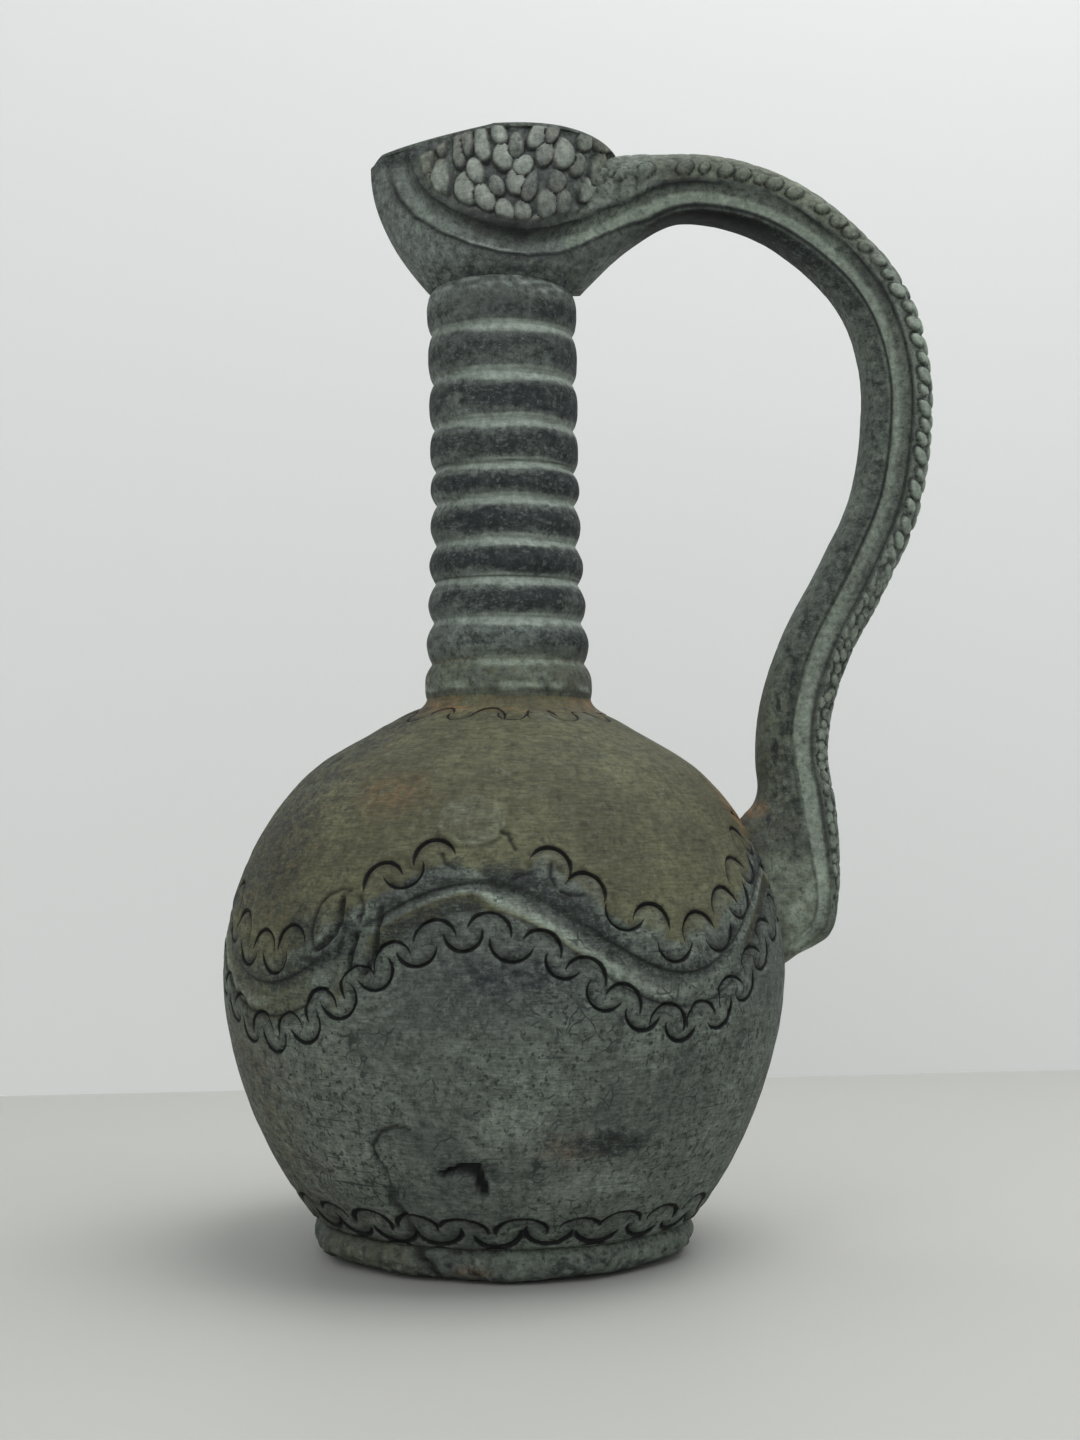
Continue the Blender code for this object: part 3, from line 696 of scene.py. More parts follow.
def add_foot(finish):
    """Slab foot: a rounded, uneven edge round a flat underside, torn and lapped at the left."""
    azimuth = grid(360, 34)
    share = rows(0.0, 1.0, 34)
    angle = math.pi * share
    around = azimuth_from(azimuth, 0.0)
    base = round_points(azimuth, 52.0, 4.5 + 4.4 * np.cos(angle))
    tear_at = -27.5 + 0.80 * (FOOT_HEIGHT - base[..., 2]) + 1.6 * lumps(base, 5.0, 27)
    torn = ease(-76.0, -58.0, around) * ease(1.5, -2.5, around - tear_at)
    uneven = 0.60 * lumps(base, 26.0, 21) + 0.55 * lumps(base, 9.0, 22) + 0.28 * lumps(base, 3.6, 25)
    swell = np.sin(angle) ** 0.75
    lap = hump(around - tear_at - 1.0, 1.5) * swell
    edge = 4.0 + (1.0 + 1.1 * torn) * uneven + 1.6 * torn
    radius = 50.4 + edge * swell - 2.0 * lap - 4.5 * ease(0.78, 1.0, share)
    ragged = 1.0 + 0.5 * lumps(base, 18.0, 23) + 0.35 * lumps(base, 5.0, 26) + 1.0 * torn
    ragged = ragged + 0.9 * ease(10.0, 60.0, around) * ease(160.0, 110.0, around)
    z = FOOT_HEIGHT / 2 * (1 + np.cos(angle)) + ragged * swell * ease(0.50, 0.82, share)
    # Mottled grime, with painted shade along the top edge under the bowl and along the lower edge by the
    # floor
    grime_and_shade = 0.55 * ease(0.0, 0.60, lumps(base, 5.0, 24)) * swell + 0.5 * ease(0.16, 0.05, share)
    grime_and_shade = grime_and_shade + 0.6 * ease(0.60, 0.90, share)
    moss = 0.44 * ease(0.10, 0.70, lumps(base, 7.0, 28)) * swell * ease(0.70, 0.40, share)
    marks = stack(0.85 * lap, most(moss, 0.3 * torn * swell), grime_and_shade)
    rust = 0.5 * hump(around + 9.0, 4.0) * swell * ease(0.40, 0.60, share)
    tints = stack(0.45 * torn, rust, 0.0)
    bands = [
        ring(1, 0.0, FOOT_HEIGHT),
        ring(COARSE, 47.0, FOOT_HEIGHT),
        band(round_points(azimuth, radius, most(z, 0.0)), marks=marks, tints=tints),
        ring(COARSE, 43.0, 0.0),
        ring(1, 0.0, 0.0),
    ]
    return add_piece("foot_disc_skin", bands, finish, ["foot_disc"])


# Neck

def neck_lean(z):
    """Sideways drift of the hand-thrown neck."""
    return 1.1 - 2.3 * np.clip((z - NECK_Z) / (NECK_TOP_Z - NECK_Z), 0.0, 1.1)


def add_neck(finish):
    """Ribbed neck: each rib swells from a pale groove to a dark crest and drops to the next groove."""
    azimuth = grid(320, 236)
    z = np.broadcast_to(rows(NECK_TOP_Z + 0.4, NECK_Z - 0.6, 236), azimuth.shape)
    base = round_points(azimuth, 22.0, z)
    level = z + 0.30 * lumps(base, 30.0, 31)
    edges = NECK_TOP_Z - np.concatenate([[0.0], np.cumsum(RIB_HEIGHTS)])
    i = np.clip(np.searchsorted(-edges, -level, "right") - 1, 0, len(RIB_HEIGHTS) - 1)
    share = np.clip((edges[i] - level) / RIB_HEIGHTS[i], 0.0, 1.0)
    down = (NECK_TOP_Z - level) / (NECK_TOP_Z - NECK_Z)
    side = np.sin(np.radians(azimuth))
    front = np.clip(np.cos(np.radians(azimuth)), 0.0, 1.0)

    # Shape of the ribs
    crest = NECK_TOP_RADIUS + (NECK_BASE_RADIUS - NECK_TOP_RADIUS) * np.clip(down, 0, 1) ** 2
    crest = crest - 0.75 * hump(down - 0.52, 0.30)
    sharp = ease(0.30, 0.60, down) * ease(1.0, 0.85, down)
    groove = (1.55 + 0.55 * sharp) * np.abs(2 * share - 1) ** (3.2 - 1.4 * sharp)
    radius = crest + 0.25 - groove + 0.12 * lumps(base, 14.0, 32) + 0.05 * lumps(base, 4.0, 33)
    raised = z + SEAM_RISE * front**2 * ease(NECK_TOP_Z - 11.0, NECK_TOP_Z, z)
    points = round_points(azimuth, radius, raised)
    points[..., 0] += neck_lean(z)

    # Pale grooves, dark crests in level brush strokes, and a worn lowest rib
    stroke = base * np.array([1.0, 1.0, 2.4])
    worn_rib = ease(8.5, 9.0, i + share)
    pale = most(ease(0.36, 0.02, share), ease(0.70, 0.98, share))
    pale = pale * (1 - 0.36 * ease(0.15, 0.75, -side) - 0.18 * ease(0.25, 0.80, side))
    scumble = ease(0.95, 0.10, share) * (0.50 + 0.20 * lumps(stroke * 1.5, 8.0, 40))
    pale = np.where(i == 0, most(pale * ease(0.80, 0.95, share), scumble), pale)
    stripe = worn_rib * hump(share - 0.62, 0.18) * (0.80 + 0.30 * lumps(stroke, 9.0, 38))
    pale = most(0.84 * pale * (1 - 0.3 * worn_rib), 0.62 * stripe)
    dark = ease(0.04, 0.42, share) * ease(1.02, 0.58, share) * RIB_PAINT[i]
    dark = dark * (1 - 0.30 * front**3 * ease(0.48, 0.25, down))
    dark = np.where(i == 0, dark * ease(0.20, 0.70, share), dark)
    dark = dark * (0.82 + 0.24 * lumps(stroke, 34.0, 34) + 0.24 * lumps(stroke, 12.0, 37))
    dark = (dark + 0.14 * side * (dark > 0.3)) * (1 - 0.92 * worn_rib)
    ledge = 0.35 + 0.45 * (i % 3 == 0) * (i > 0)
    line = ledge * hump((share - 0.93) * RIB_HEIGHTS[i], 0.35)
    below = worn_rib * hump(share - 0.76, 0.07) * (0.5 + 0.5 * lumps(stroke, 14.0, 39))
    line = most(line * (1 - 0.4 * worn_rib), 0.6 * np.clip(below, 0, 1))
    marks = stack(line, pale, np.clip(dark, 0, 1))
    tints = stack(0.42 * worn_rib, 0.25 * ease(0.9, 1.0, share) * worn_rib, 0.8 * (1 - worn_rib))

    bands = [band(points, marks=marks, tints=tints)]
    hidden = [(LOWER_SPIGOT_RADIUS, NECK_Z - 0.8), (LOWER_SPIGOT_RADIUS, LOWER_SPIGOT_Z)]
    hidden += [(NECK_BORE, height) for height in (LOWER_SPIGOT_Z, 180.0, 215.0, 250.0, UPPER_SPIGOT_Z)]
    hidden += [(UPPER_SPIGOT_RADIUS, UPPER_SPIGOT_Z), (UPPER_SPIGOT_RADIUS, NECK_TOP_Z + 0.5)]
    for far, height in hidden:
        part = ring(40, far, height)
        part["points"][..., 0] += neck_lean(height)
        bands.append(part)
    return add_piece("neck_tube_skin", bands, finish, ["neck_tube", "head_slip_ring"])


def add_neck_slip(finish):
    """Cove of slip smeared round the neck's foot, shallow and uneven."""
    azimuth = grid(180, 12)
    share = rows(0.0, 1.0, 12)
    base = round_points(azimuth, 25.0, 156.0)
    radius = 23.9 + (4.3 + 0.45 * lumps(base, 12.0, 35)) * share**1.7
    points = round_points(azimuth, radius, 158.4 - 5.0 * share**0.75)
    points[..., 0] += neck_lean(NECK_Z)
    clay = ease(25.0, 60.0, np.abs(azimuth_from(azimuth, 5.0))) * (0.5 + 0.5 * lumps(base, 9.0, 36))
    tints = stack(1.0, 0.08 + 0.60 * np.clip(clay, 0, 1), 0.0)
    marks = stack(0.0, 0.0, 0.35 * ease(0.2, 0.9, share)) + np.zeros(points.shape)
    bands = [band(points, marks=marks, tints=tints), ring(COARSE, 26.0, 152.9), ring(COARSE, 21.5, 155.5)]
    piece = add_piece("neck_slip_skin", bands, finish, ["neck_slip_ring"])


# Pouring head

def rim_height(turn):
    """Height of the rim: high at the sides, lower at the back and the beak, rounded off at the tip."""
    front = np.cos(turn)
    drop = 4.6 * np.clip(front, 0, 1) ** 0.8 + 4.4 * np.clip(-front, 0, 1) ** 3.5
    return RIM_Z - HEAD_Z - drop - 2.2 * ease(0.91, 1.0, front)


def leaf_half_width(turn, pinch):
    """Half width of a leaf shape at an angle from its tip, as a share of the greatest half width."""
    peak = np.arccos(-pinch / (pinch + 2))
    widest = np.sin(peak) * np.sin(peak / 2) ** pinch
    return np.sin(turn) * np.abs(np.sin(turn / 2)) ** pinch / widest


def head_form(level, inset):
    """Middle, half length, half width and pinch of the head's outline: level 0 is the neck, 1 the rim."""
    flare = 1 - (1 - level) ** 2.0
    foot = NECK_TOP_RADIUS - 0.9
    front = foot + (HEAD_FRONT - foot) * flare - inset
    back = foot + (HEAD_BACK - foot) * level - inset
    bulge = HEAD_BULGE - (foot + HEAD_RIM_HALF_WIDTH) / 2
    width = foot + (HEAD_RIM_HALF_WIDTH - foot) * level + bulge * np.sin(math.pi * level**0.8) - inset
    middle = (back - front) / 2 - 1.2 * (1 - level)
    return middle, (back + front) / 2, width, HEAD_PINCH * level


def head_points(turn, level, inset, lift=0.0):
    """Points on the head's wall at an angle from the beak and a level."""
    middle, half_length, width, pinch = head_form(level, inset)
    x = middle - half_length * np.cos(turn)
    y = width * leaf_half_width(turn, pinch)
    seam = SEAM_RISE * np.clip(np.sin(turn), 0, 1) ** 2 * (1 - level) ** 4
    return stack(x, -y, HEAD_Z + rim_height(turn) * level + seam + lift)


FLUTE_LINE = np.array(
    [
        (-33.0, 321.0), (-31.2, 312.5), (-28.4, 304.5), (-24.0, 298.4), (-17.0, 292.9),
        (-9.0, 288.9), (-1.0, 286.7), (6.5, 286.2), (14.0, 287.8), (21.0, 291.2),
        (28.0, 295.0), (36.0, 298.6), (44.5, 301.2), (57.0, 302.6),
    ]
)


def flute_offset(x, z):
    """Signed distance from the flute's middle line on the side of the head, positive above it."""
    best = np.full(x.shape, 99.0)
    side = np.zeros(x.shape)
    for (x0, z0), (x1, z1) in zip(FLUTE_LINE, FLUTE_LINE[1:]):
        run, rise = x1 - x0, z1 - z0
        u, v = off_segment(x - x0, z - z0, run, rise)
        far = np.hypot(u, v)
        side = np.where(far < best, np.sign(run * v - rise * u), side)
        best = np.minimum(best, far)
    return best * side


def flute_marks(offset, half, fade):
    """Cove between two cut lines: depth in millimetres, line mark and pale recess; the pale grows towards the
    lower edge, hollow patina with painted light on the upward-facing lower half.
    """
    inside = ease(half + 0.3, half - 0.7, np.abs(offset)) * fade
    cove = np.clip(1 - (offset / half) ** 2, 0, 1)
    line = hump(np.abs(offset) - half, 0.48) * fade
    depth = -(0.6 * inside + 1.5 * cove * inside) - 0.30 * line
    pale = inside * ease(half, -0.2 * half, offset)
    return depth, line, pale


def add_head(finish):
    """Pouring head: flared leaf-shaped cup with a cove and a pebbled panel on each side, a rim and a bore."""
    columns = 520
    turn = np.arange(columns)[None, :] * 2 * math.pi / columns
    count = 104
    level = np.broadcast_to(rows(0.0, 0.962, count), (count, columns))
    angle = np.broadcast_to(turn, level.shape)
    outer = head_points(angle, level, 0.0)
    x, z = outer[..., 0], outer[..., 2]
    on_side = ease(0.10, 0.34, np.abs(np.sin(angle)))
    offset = flute_offset(x, z)
    to_rim = HEAD_Z + rim_height(angle) - z
    depth, line, pale = flute_marks(offset, 3.4, on_side * ease(-1.0, 6.0, to_rim))
    line = line * (0.25 + 0.75 * ease(4.0, 16.0, to_rim))

    border = 1.3 + 4.2 * ease(-10.0, -27.0, x)
    panel = ease(3.6, 4.6, offset) * ease(border - 0.6, border + 0.6, to_rim) * on_side
    far_side = np.where(outer[..., 1] > 0, 40.0, 0.0)
    along = 1.10 * x + far_side + 1.2 * lumps(outer, 22.0, 43)
    stone, outline, tone = pebbles(along, 0.96 * offset + 0.6, 6.3, 47, 0.9)
    bare = ease(5.2, 6.6, offset + 0.6 * lumps(outer, 9.0, 45))
    stone, outline = stone * bare, outline * bare
    depth = depth + panel * (1.45 * stone - 0.85 + 0.20 * lumps(outer, 3.0, 44))
    depth = depth + 0.10 * lumps(outer, 16.0, 42)
    outer = relieved(outer, depth, outer.mean(axis=(0, 1)))

    # Painted shadow in the top of the cove, under the panel's edge, widest and darkest in the middle
    middle = hump(x - 3.0, 16.0)
    panel_shadow = hump(offset - 3.0, 1.5 + 1.5 * middle) * on_side * (0.40 + 0.45 * middle)
    lines = most(0.85 * line, 0.86 * outline * panel, panel_shadow)
    # A painted highlight just inside the cove's lower cut line
    painted_glint = hump(offset + 2.75, 0.40) * on_side * hump(x + 6.0, 16.0)
    smooth_below = ease(-2.5, -5.0, offset)
    pale = most(
        (0.46 + 0.08 * ease(8.0, 26.0, x)) * pale * (1 - panel_shadow),
        panel * (0.36 + (0.06 + 0.18 * tone) * ease(0.3, 1.0, stone)),
        0.95 * painted_glint,
        smooth_below * (0.42 + 0.01 * ease(-16.0, -32.0, x)),
    )
    # Below the cove the wall is darker towards the beak and, as painted shade, low down by the neck; a band
    # along the rim is darker too
    dark = smooth_below * (0.22 * ease(-32.0, -18.0, x) + 0.30 * ease(286.0, 279.0, z))
    dark = most(dark, 0.45 * ease(border + 0.4, border - 0.6, to_rim))
    ground = panel * ease(0.45, 0.10, stone) * ease(5.0, 7.5, offset)
    marks = stack(lines, pale, most(dark * (1 - panel), 0.36 * ground))
    brown = panel * most(ease(0.0, -26.0, x), ease(16.0, 30.0, x))
    to_top = panel * ease(9.0, 3.0, to_rim)
    stone_tint = panel * ease(0.1, 0.6, stone) * (0.07 + 0.05 * tone + 0.05 * to_top)
    tints = stack(0.14 * panel + 0.26 * brown, stone_tint, 0.9 - 0.5 * brown)

    bend = math.pi * rows(0.0, 1.0, 9)
    rim_inset = HEAD_WALL / 2 * (1 - np.cos(bend))
    rim = head_points(np.broadcast_to(turn, (9, columns)), 0.965, rim_inset, 1.6 * np.sin(bend))
    rim_marks = stack(0.0, 0.0, 0.5) + np.zeros(rim.shape)
    inner_level = np.broadcast_to(rows(0.95, 0.16, 22), (22, columns))
    inner = head_points(np.broadcast_to(turn, inner_level.shape), inner_level, HEAD_WALL)
    bands = [band(outer, marks=marks, tints=tints), band(rim, marks=rim_marks), band(inner)]
    circle = -turn[0, ::10]
    socket = [(NECK_BORE, 283.0), (NECK_BORE, SOCKET_Z)]
    socket += [(SOCKET_RADIUS, SOCKET_Z), (SOCKET_RADIUS, HEAD_Z + 0.3)]
    for far, height in socket:
        points = stack(-1.2 - far * np.cos(circle), far * np.sin(circle), height)[None]
        bands.append(band(points))
    return add_piece("spout_head_skin", bands, finish, ["spout_head"])


# Handle

HANDLE_LINE = np.array(
    [
        (4.0, 302.0), (43.5, 307.4), (60.2, 308.1), (78.6, 302.6), (94.8, 291.5), (106.9, 277.6),
        (113.4, 261.0), (114.9, 241.0), (111.3, 216.2), (102.0, 194.7), (91.3, 174.3), (85.3, 156.9),
        (83.6, 141.3), (85.6, 126.2), (86.6, 112.1), (84.7, 98.1), (71.0, 86.5),
    ]
)


def handle_line(share):
    """Place and direction on the smooth curve through the handle's turning points, at shares along it."""
    place = np.clip(share, 0.0, 1.0) * (len(HANDLE_LINE) - 1)
    i = np.minimum(place.astype(int), len(HANDLE_LINE) - 2)
    u = (place - i)[..., None]
    first = 2 * HANDLE_LINE[0] - HANDLE_LINE[1]
    last = 2 * HANDLE_LINE[-1] - HANDLE_LINE[-2]
    line = np.vstack([first, HANDLE_LINE, last])
    a, b, c, d = line[i], line[i + 1], line[i + 2], line[i + 3]
    slope_b, slope_c = (c - a) / 2, (d - b) / 2
    cubic = slope_b + slope_c - 2 * (c - b)
    square = 3 * (c - b) - 2 * slope_b - slope_c
    spot = b + u * slope_b + u * u * square + u**3 * cubic
    along = slope_b + 2 * u * square + 3 * u * u * cubic
    return spot, along / np.linalg.norm(along, axis=-1, keepdims=True)


def half_thickness(share):
    """Half the strap's thickness at shares along it."""
    return (HANDLE_TOP_THICKNESS + (HANDLE_ROOT_THICKNESS - HANDLE_TOP_THICKNESS) * share) / 2


def handle_section(share, turn):
    """Point of the strap's rounded-square section at a share and an angle from its back, and its offset."""
    spot, along = handle_line(share)
    at_head = share < 0.2
    near_head = np.clip((48.0 - spot[..., 0]) / 40.0, 0, 1.1) ** 2 * at_head
    fill = 19.0 * np.clip((50.5 - spot[..., 0]) / 34.0, 0, 1.1) ** 1.5 * at_head
    near_root = np.clip((share - 0.70) / 0.30, 0, 1) ** 2
    crotch = np.clip((share - 0.77) / 0.07, 0, 1) ** 2
    out = np.sign(np.cos(turn)) * np.abs(np.cos(turn)) ** SQUARE_POWER
    side = np.sign(np.sin(turn)) * np.abs(np.sin(turn)) ** SQUARE_POWER
    thick = half_thickness(share)
    low_side = ease(0.45, -0.70, out)
    width = HANDLE_HALF_WIDTH * (1 + (0.12 + 0.80 * low_side) * near_head + 0.35 * near_root)
    above_seam = spot[..., 1] - 277.6 - 1.6 * ease(18.0, 23.0, spot[..., 0])
    gusset = np.minimum(thick + fill, most(above_seam, thick))
    shoulder = 1.8 * ease(58.0, 36.0, spot[..., 0]) * at_head
    tip = 2.2 * hump(share - 0.943, 0.016)
    reach = np.where(out < 0, gusset * (1 + 1.3 * crotch), thick + shoulder + tip) * out
    x = spot[..., 0] - along[..., 1] * reach
    z = spot[..., 1] + along[..., 0] * reach
    return stack(x, width * side, z), thick * out


def in_head(points):
    """True for points inside the head's outer wall, or above its mouth."""
    x, y, z = points[..., 0], points[..., 1], points[..., 2]
    rim = np.full(x.shape, 42.0)
    for _ in range(4):
        level = np.clip((z - HEAD_Z) / rim, 0.0, 1.0)
        middle, half_length, width, pinch = head_form(level, 2.4)
        turn = np.arccos(np.clip((middle - x) / half_length, -1, 1))
        rim = rim_height(turn)
    return (np.abs(x - middle) < half_length) & (np.abs(y) < width * leaf_half_width(turn, pinch))


def in_belly(points):
    """True for points a little inside the belly's outer wall."""
    return np.hypot(points[..., 0], points[..., 1]) < belly_radius(points[..., 2]) - 0.4


BUTTON_STEPS = (
    3.0, 8.5, 14.0, 23.0, 28.5, 35.0, 39.8, 45.0, 48.6, 54.5, 63.0, 68.6, 73.0, 78.5, 84.5, 89.0, 95.5, 101.0,
)
ARCH_BUTTONS = [
    (at, float(np.interp(at, (0.0, 40.0, 65.0, 95.0), (3.0, 3.4, 4.8, 5.0))), 2.2 - 0.4 * (i % 3 == 1))
    for i, at in enumerate(BUTTON_STEPS)
]
EDGE_BEADS = [
    (78.4 + 4.6 * i, 4.9 + 2.0 * min(i / 6, 1.0) + 0.5 * math.sin(1.9 * i), 1.9 + 0.35 * math.sin(2.6 * i))
    for i in range(32)
]


def add_handle(finish):
    """Pulled strap: sections along its line from the head to the belly, coved sides and a pebbled back."""
    columns = 150
    count = 600
    turn = np.arange(columns)[None, :] * 2 * math.pi / columns
    upper = rows(0.0, 0.20, 300)
    hit = in_head(handle_section(upper + 0 * turn, 0 * upper + turn)[0])
    start = np.max(np.where(hit, upper, 0.0), axis=0)
    lower = rows(0.70, 1.0, 500)
    hit = in_belly(handle_section(lower + 0 * turn, 0 * lower + turn)[0])
    end = np.min(np.where(hit, lower, 1.0), axis=0)
    share = start + (end - start) * rows(0.0, 1.0, count)
    angle = np.broadcast_to(turn, share.shape)
    points, out = handle_section(share, angle)
    spot, _ = handle_line(share)

    # Cove along each side
    flute = np.interp(share, (0.0, 0.12, 0.42, 0.66, 0.85, 1.0), (-0.50, -0.42, 0.0, 0.10, 0.30, 0.75))
    flute = flute * half_thickness(share)
    by_line = flute_offset(points[..., 0], points[..., 2])
    joined = ease(46.0, 36.0, points[..., 0]) * ease(0.2, 0.1, share)
    offset = (out - flute) * (1 - joined) + by_line * joined
    sideways = np.abs(np.sin(angle))
    on_side = ease(0.30, 0.55, sideways)
    half = np.interp(share, (0.0, 0.45, 0.80, 0.88, 0.95), (3.4, 3.1, 3.0, 2.6, 1.7))
    fade = on_side * ease(0.985, 0.93, share)
    low = ease(0.45, 0.70, share)
    depth, line, pale = flute_marks(offset, half, fade)
    depth = depth * (1 - 0.5 * low)

    # Stones, buttons and beads on the back, by length along the strap and round it
    length = np.cumsum(np.linalg.norm(np.diff(spot[:, 0], axis=0, prepend=spot[:1, 0]), axis=-1))[:, None]
    section = points[count // 2]
    steps = np.linalg.norm(np.roll(section, -1, 0) - section, axis=-1)
    around = np.concatenate([[0.0], np.cumsum(steps)[:-1]])
    around = np.where(around > steps.sum() / 2, around - steps.sum(), around)[None, :]
    length, around = np.broadcast_arrays(length, around)
    strip = ease(half + 0.3, half + 1.1, offset) * on_side
    strip = most(strip, ease(0.62, 0.50, sideways) * (out > 0)) * ease(0.97, 0.90, share)
    bead = ease(0.26, 0.36, share)
    stone, outline, tone = pebbles(length, around + 2.0, 4.8, 51)
    button, button_line = buttons(length, out, ARCH_BUTTONS)
    stone = stone * (0.25 + 0.75 * bead) + button * (1 - bead)
    outline = outline * (0.15 + 0.85 * bead) + button_line * (1 - bead)
    row = ease(0.26, 0.31, share) * ease(0.58, 0.50, share) * on_side
    round_bead, bead_line = buttons(length, out, EDGE_BEADS)
    stone = stone * (1 - row) + round_bead * row
    outline = outline * (1 - row) + bead_line * row
    cracked = ease(0.50, 0.60, share)
    knob, knob_line, knob_tone = pebbles(1.2 * length, 1.2 * around + 1.0, 4.4, 57, 3.0)
    stone = stone * (1 - cracked) + knob * cracked
    outline = outline * (1 - cracked) + knob_line * cracked
    tone = tone * (1 - cracked) + 0.3 * knob_tone * cracked
    relief = 1.25 + 0.25 * bead - 0.65 * ease(0.50, 0.62, share)
    depth = depth + strip * relief * (stone - 0.10 - 0.30 * bead)
    depth = depth + 0.12 * lumps(points, 20.0, 52) + 0.05 * lumps(points, 5.0, 53)
    points = relieved(points, depth, stack(spot[..., 0], 0.0, spot[..., 1]))

    # Dark lines, pale coves and darker places: mottled blotches, and painted shade along the coves' upper
    # edges and under the arch
    shade = hump(offset - half, 1.0) * fade * (1 - 0.6 * low)
    arch = hump(share - 0.12, 0.115)
    shade_line = (0.10 + 0.60 * hump(share - 0.08, 0.06)) * shade
    lines = most((0.9 - 0.3 * low) * line, 0.9 * outline * strip, shade_line)
    flat = ease(half + 0.3, half - 0.9, np.abs(offset)) * fade
    lit = np.interp(share, (0.0, 0.20, 0.36, 0.55, 0.72), (0.57, 0.60, 0.53, 0.52, 0.60))
    lift = 0.04 + (0.12 + 0.20 * tone) * bead - 0.10 * cracked
    tail = ease(0.82, 0.90, share) * (1 - strip) * np.clip(0.85 + 0.30 * lumps(points, 9.0, 55), 0, 1)
    pale = most(
        lit * (pale * (1 - low) + 0.9 * flat * low) * (1 - 0.5 * shade),
        strip * (0.412 + 0.02 * bead + lift * ease(0.3, 1.0, stone)),
        0.54 * tail,
    )
    # Darker inner face, deepest under the arch where it is painted shade; lower down, mottled blotches
    inner = ease(-half, -half - 1.5, offset) * (1 - strip)
    inner = inner * (0.24 + 0.28 * ease(-half - 7.0, -half - 1.0, offset) + 0.75 * arch)
    inner = inner * ease(1.0, 0.75, share) * ease(30.0, 48.0, points[..., 0])
    streaks = lumps(points * np.array([1.0, 1.0, 0.5]), 4.0, 54)
    blotch = ease(0.05, 0.55, streaks) * hump(offset + half + 3.2, 3.6) * low * ease(0.93, 0.86, share)
    inner = most(inner, 0.95 * blotch * on_side, 0.30 * strip * cracked)
    marks = stack(most(lines, 0.92 * arch * inner), pale, inner * (1 - 0.6 * tail))
    crotch = 0.7 * hump((points[..., 2] - 125.5), 2.2) * ease(-6.0, -9.5, out) * ease(0.70, 0.78, share)
    green = most(0.30 * tail, low * (0.42 - 0.20 * flat) * (1 - strip), 0.22 * flat)
    warm = strip * (0.46 - 0.24 * bead + 0.14 * cracked) * (1 - 0.6 * joined)
    cool = (0.25 * (1 - low) + 0.75 * arch * (1 - strip)) * (1 - flat)
    tints = stack(most(warm, green), np.clip(crotch, 0, 1), cool)
    top_end = np.array([HEAD_BACK - 2.2, 0.0, 300.0])
    root_end = np.array([belly_radius(104.0) - 1.0, 0.0, 104.0])
    bands = [band(top_end[None, None]), band(points, marks=marks, tints=tints), band(root_end[None, None])]
    nodes = ["handle_strap", "handle_top_slip_pad", "handle_root_slip_pad"]
    return add_piece("handle_strap_skin", bands, finish, nodes)


# Finishes

DARK = (0.019, 0.024, 0.024)
LINE = (0.004, 0.005, 0.005)
GREEN = (0.127, 0.151, 0.124)
BLUE_GREEN = (0.087, 0.098, 0.086)
OLIVE = (0.118, 0.121, 0.070)
OLIVE_DARK = (0.078, 0.077, 0.047)
PALE = (0.330, 0.390, 0.315)
RAW_CLAY = (0.330, 0.170, 0.075)
COOLER = (1.02, 1.0, 1.09)
SLIP = (0.24, 0.14, 0.07)
SLIP_DARK = (0.10, 0.075, 0.045)


def put(tree, kind, inputs, **settings):
    """Add a node, set its options, set or link its inputs, and return its outputs."""
    made = tree.nodes.new("ShaderNode" + kind)
    for key, value in settings.items():
        setattr(made, key, value)
    for key, value in inputs.items():
        if isinstance(value, bpy.types.NodeSocket):
            tree.links.new(value, made.inputs[key])
        else:
            made.inputs[key].default_value = value
    return made.outputs


def mix(tree, share, low, high):
    """Mix two colours by a share."""
    low = (*low, 1.0) if isinstance(low, tuple) else low
    high = (*high, 1.0) if isinstance(high, tuple) else high
    return put(tree, "Mix", {0: share, 6: low, 7: high}, data_type="RGBA")[2]


def calc(tree, operation, *values, clamp=False):
    """One arithmetic step, held between 0 and 1 if asked."""
    return put(tree, "Math", dict(enumerate(values)), operation=operation, use_clamp=clamp)[0]


def times(tree, *values):
    """Product of several values, held between 0 and 1."""
    return functools.reduce(lambda a, b: calc(tree, "MULTIPLY", a, b, clamp=True), values)


def largest(tree, *values):
    """Largest of several values, held between 0 and 1."""
    return functools.reduce(lambda a, b: calc(tree, "MAXIMUM", a, b, clamp=True), values)


def less(tree, value, taken):
    """One value less another, held between 0 and 1."""
    return calc(tree, "SUBTRACT", value, taken, clamp=True)


def step(tree, value, low, high):
    """Smooth step from 0 at low to 1 at high."""
    inputs = {"Value": value, "From Min": low, "From Max": high}
    return put(tree, "MapRange", inputs, interpolation_type="SMOOTHSTEP")[0]


def ramp(tree, value, low, high, at_low, at_high):
    """Straight ramp between two values as a value goes from low to high."""
    inputs = {"Value": value, "From Min": low, "From Max": high, "To Min": at_low, "To Max": at_high}
    return put(tree, "MapRange", inputs)[0]


def grain(tree, where, scale, detail=4.0, rough=0.6):
    """Noise of a scale in waves per metre."""
    inputs = {"Vector": where, "Scale": scale, "Detail": detail, "Roughness": rough}
    return put(tree, "TexNoise", inputs)["Fac"]


def stretched(tree, where, level, upright):
    """Places scaled level and upright, so that a noise at them comes out drawn long or tall."""
    return put(tree, "Mapping", {"Vector": where, "Scale": (level, level, upright)})[0]


def worn(tree, mark, noise, amount, low=0.30, high=0.62):
    """A painted mark with its soft edge broken up by noise."""
    push = calc(tree, "MULTIPLY_ADD", noise, amount, -0.5 * amount)
    return step(tree, calc(tree, "ADD", mark, push), low, high)


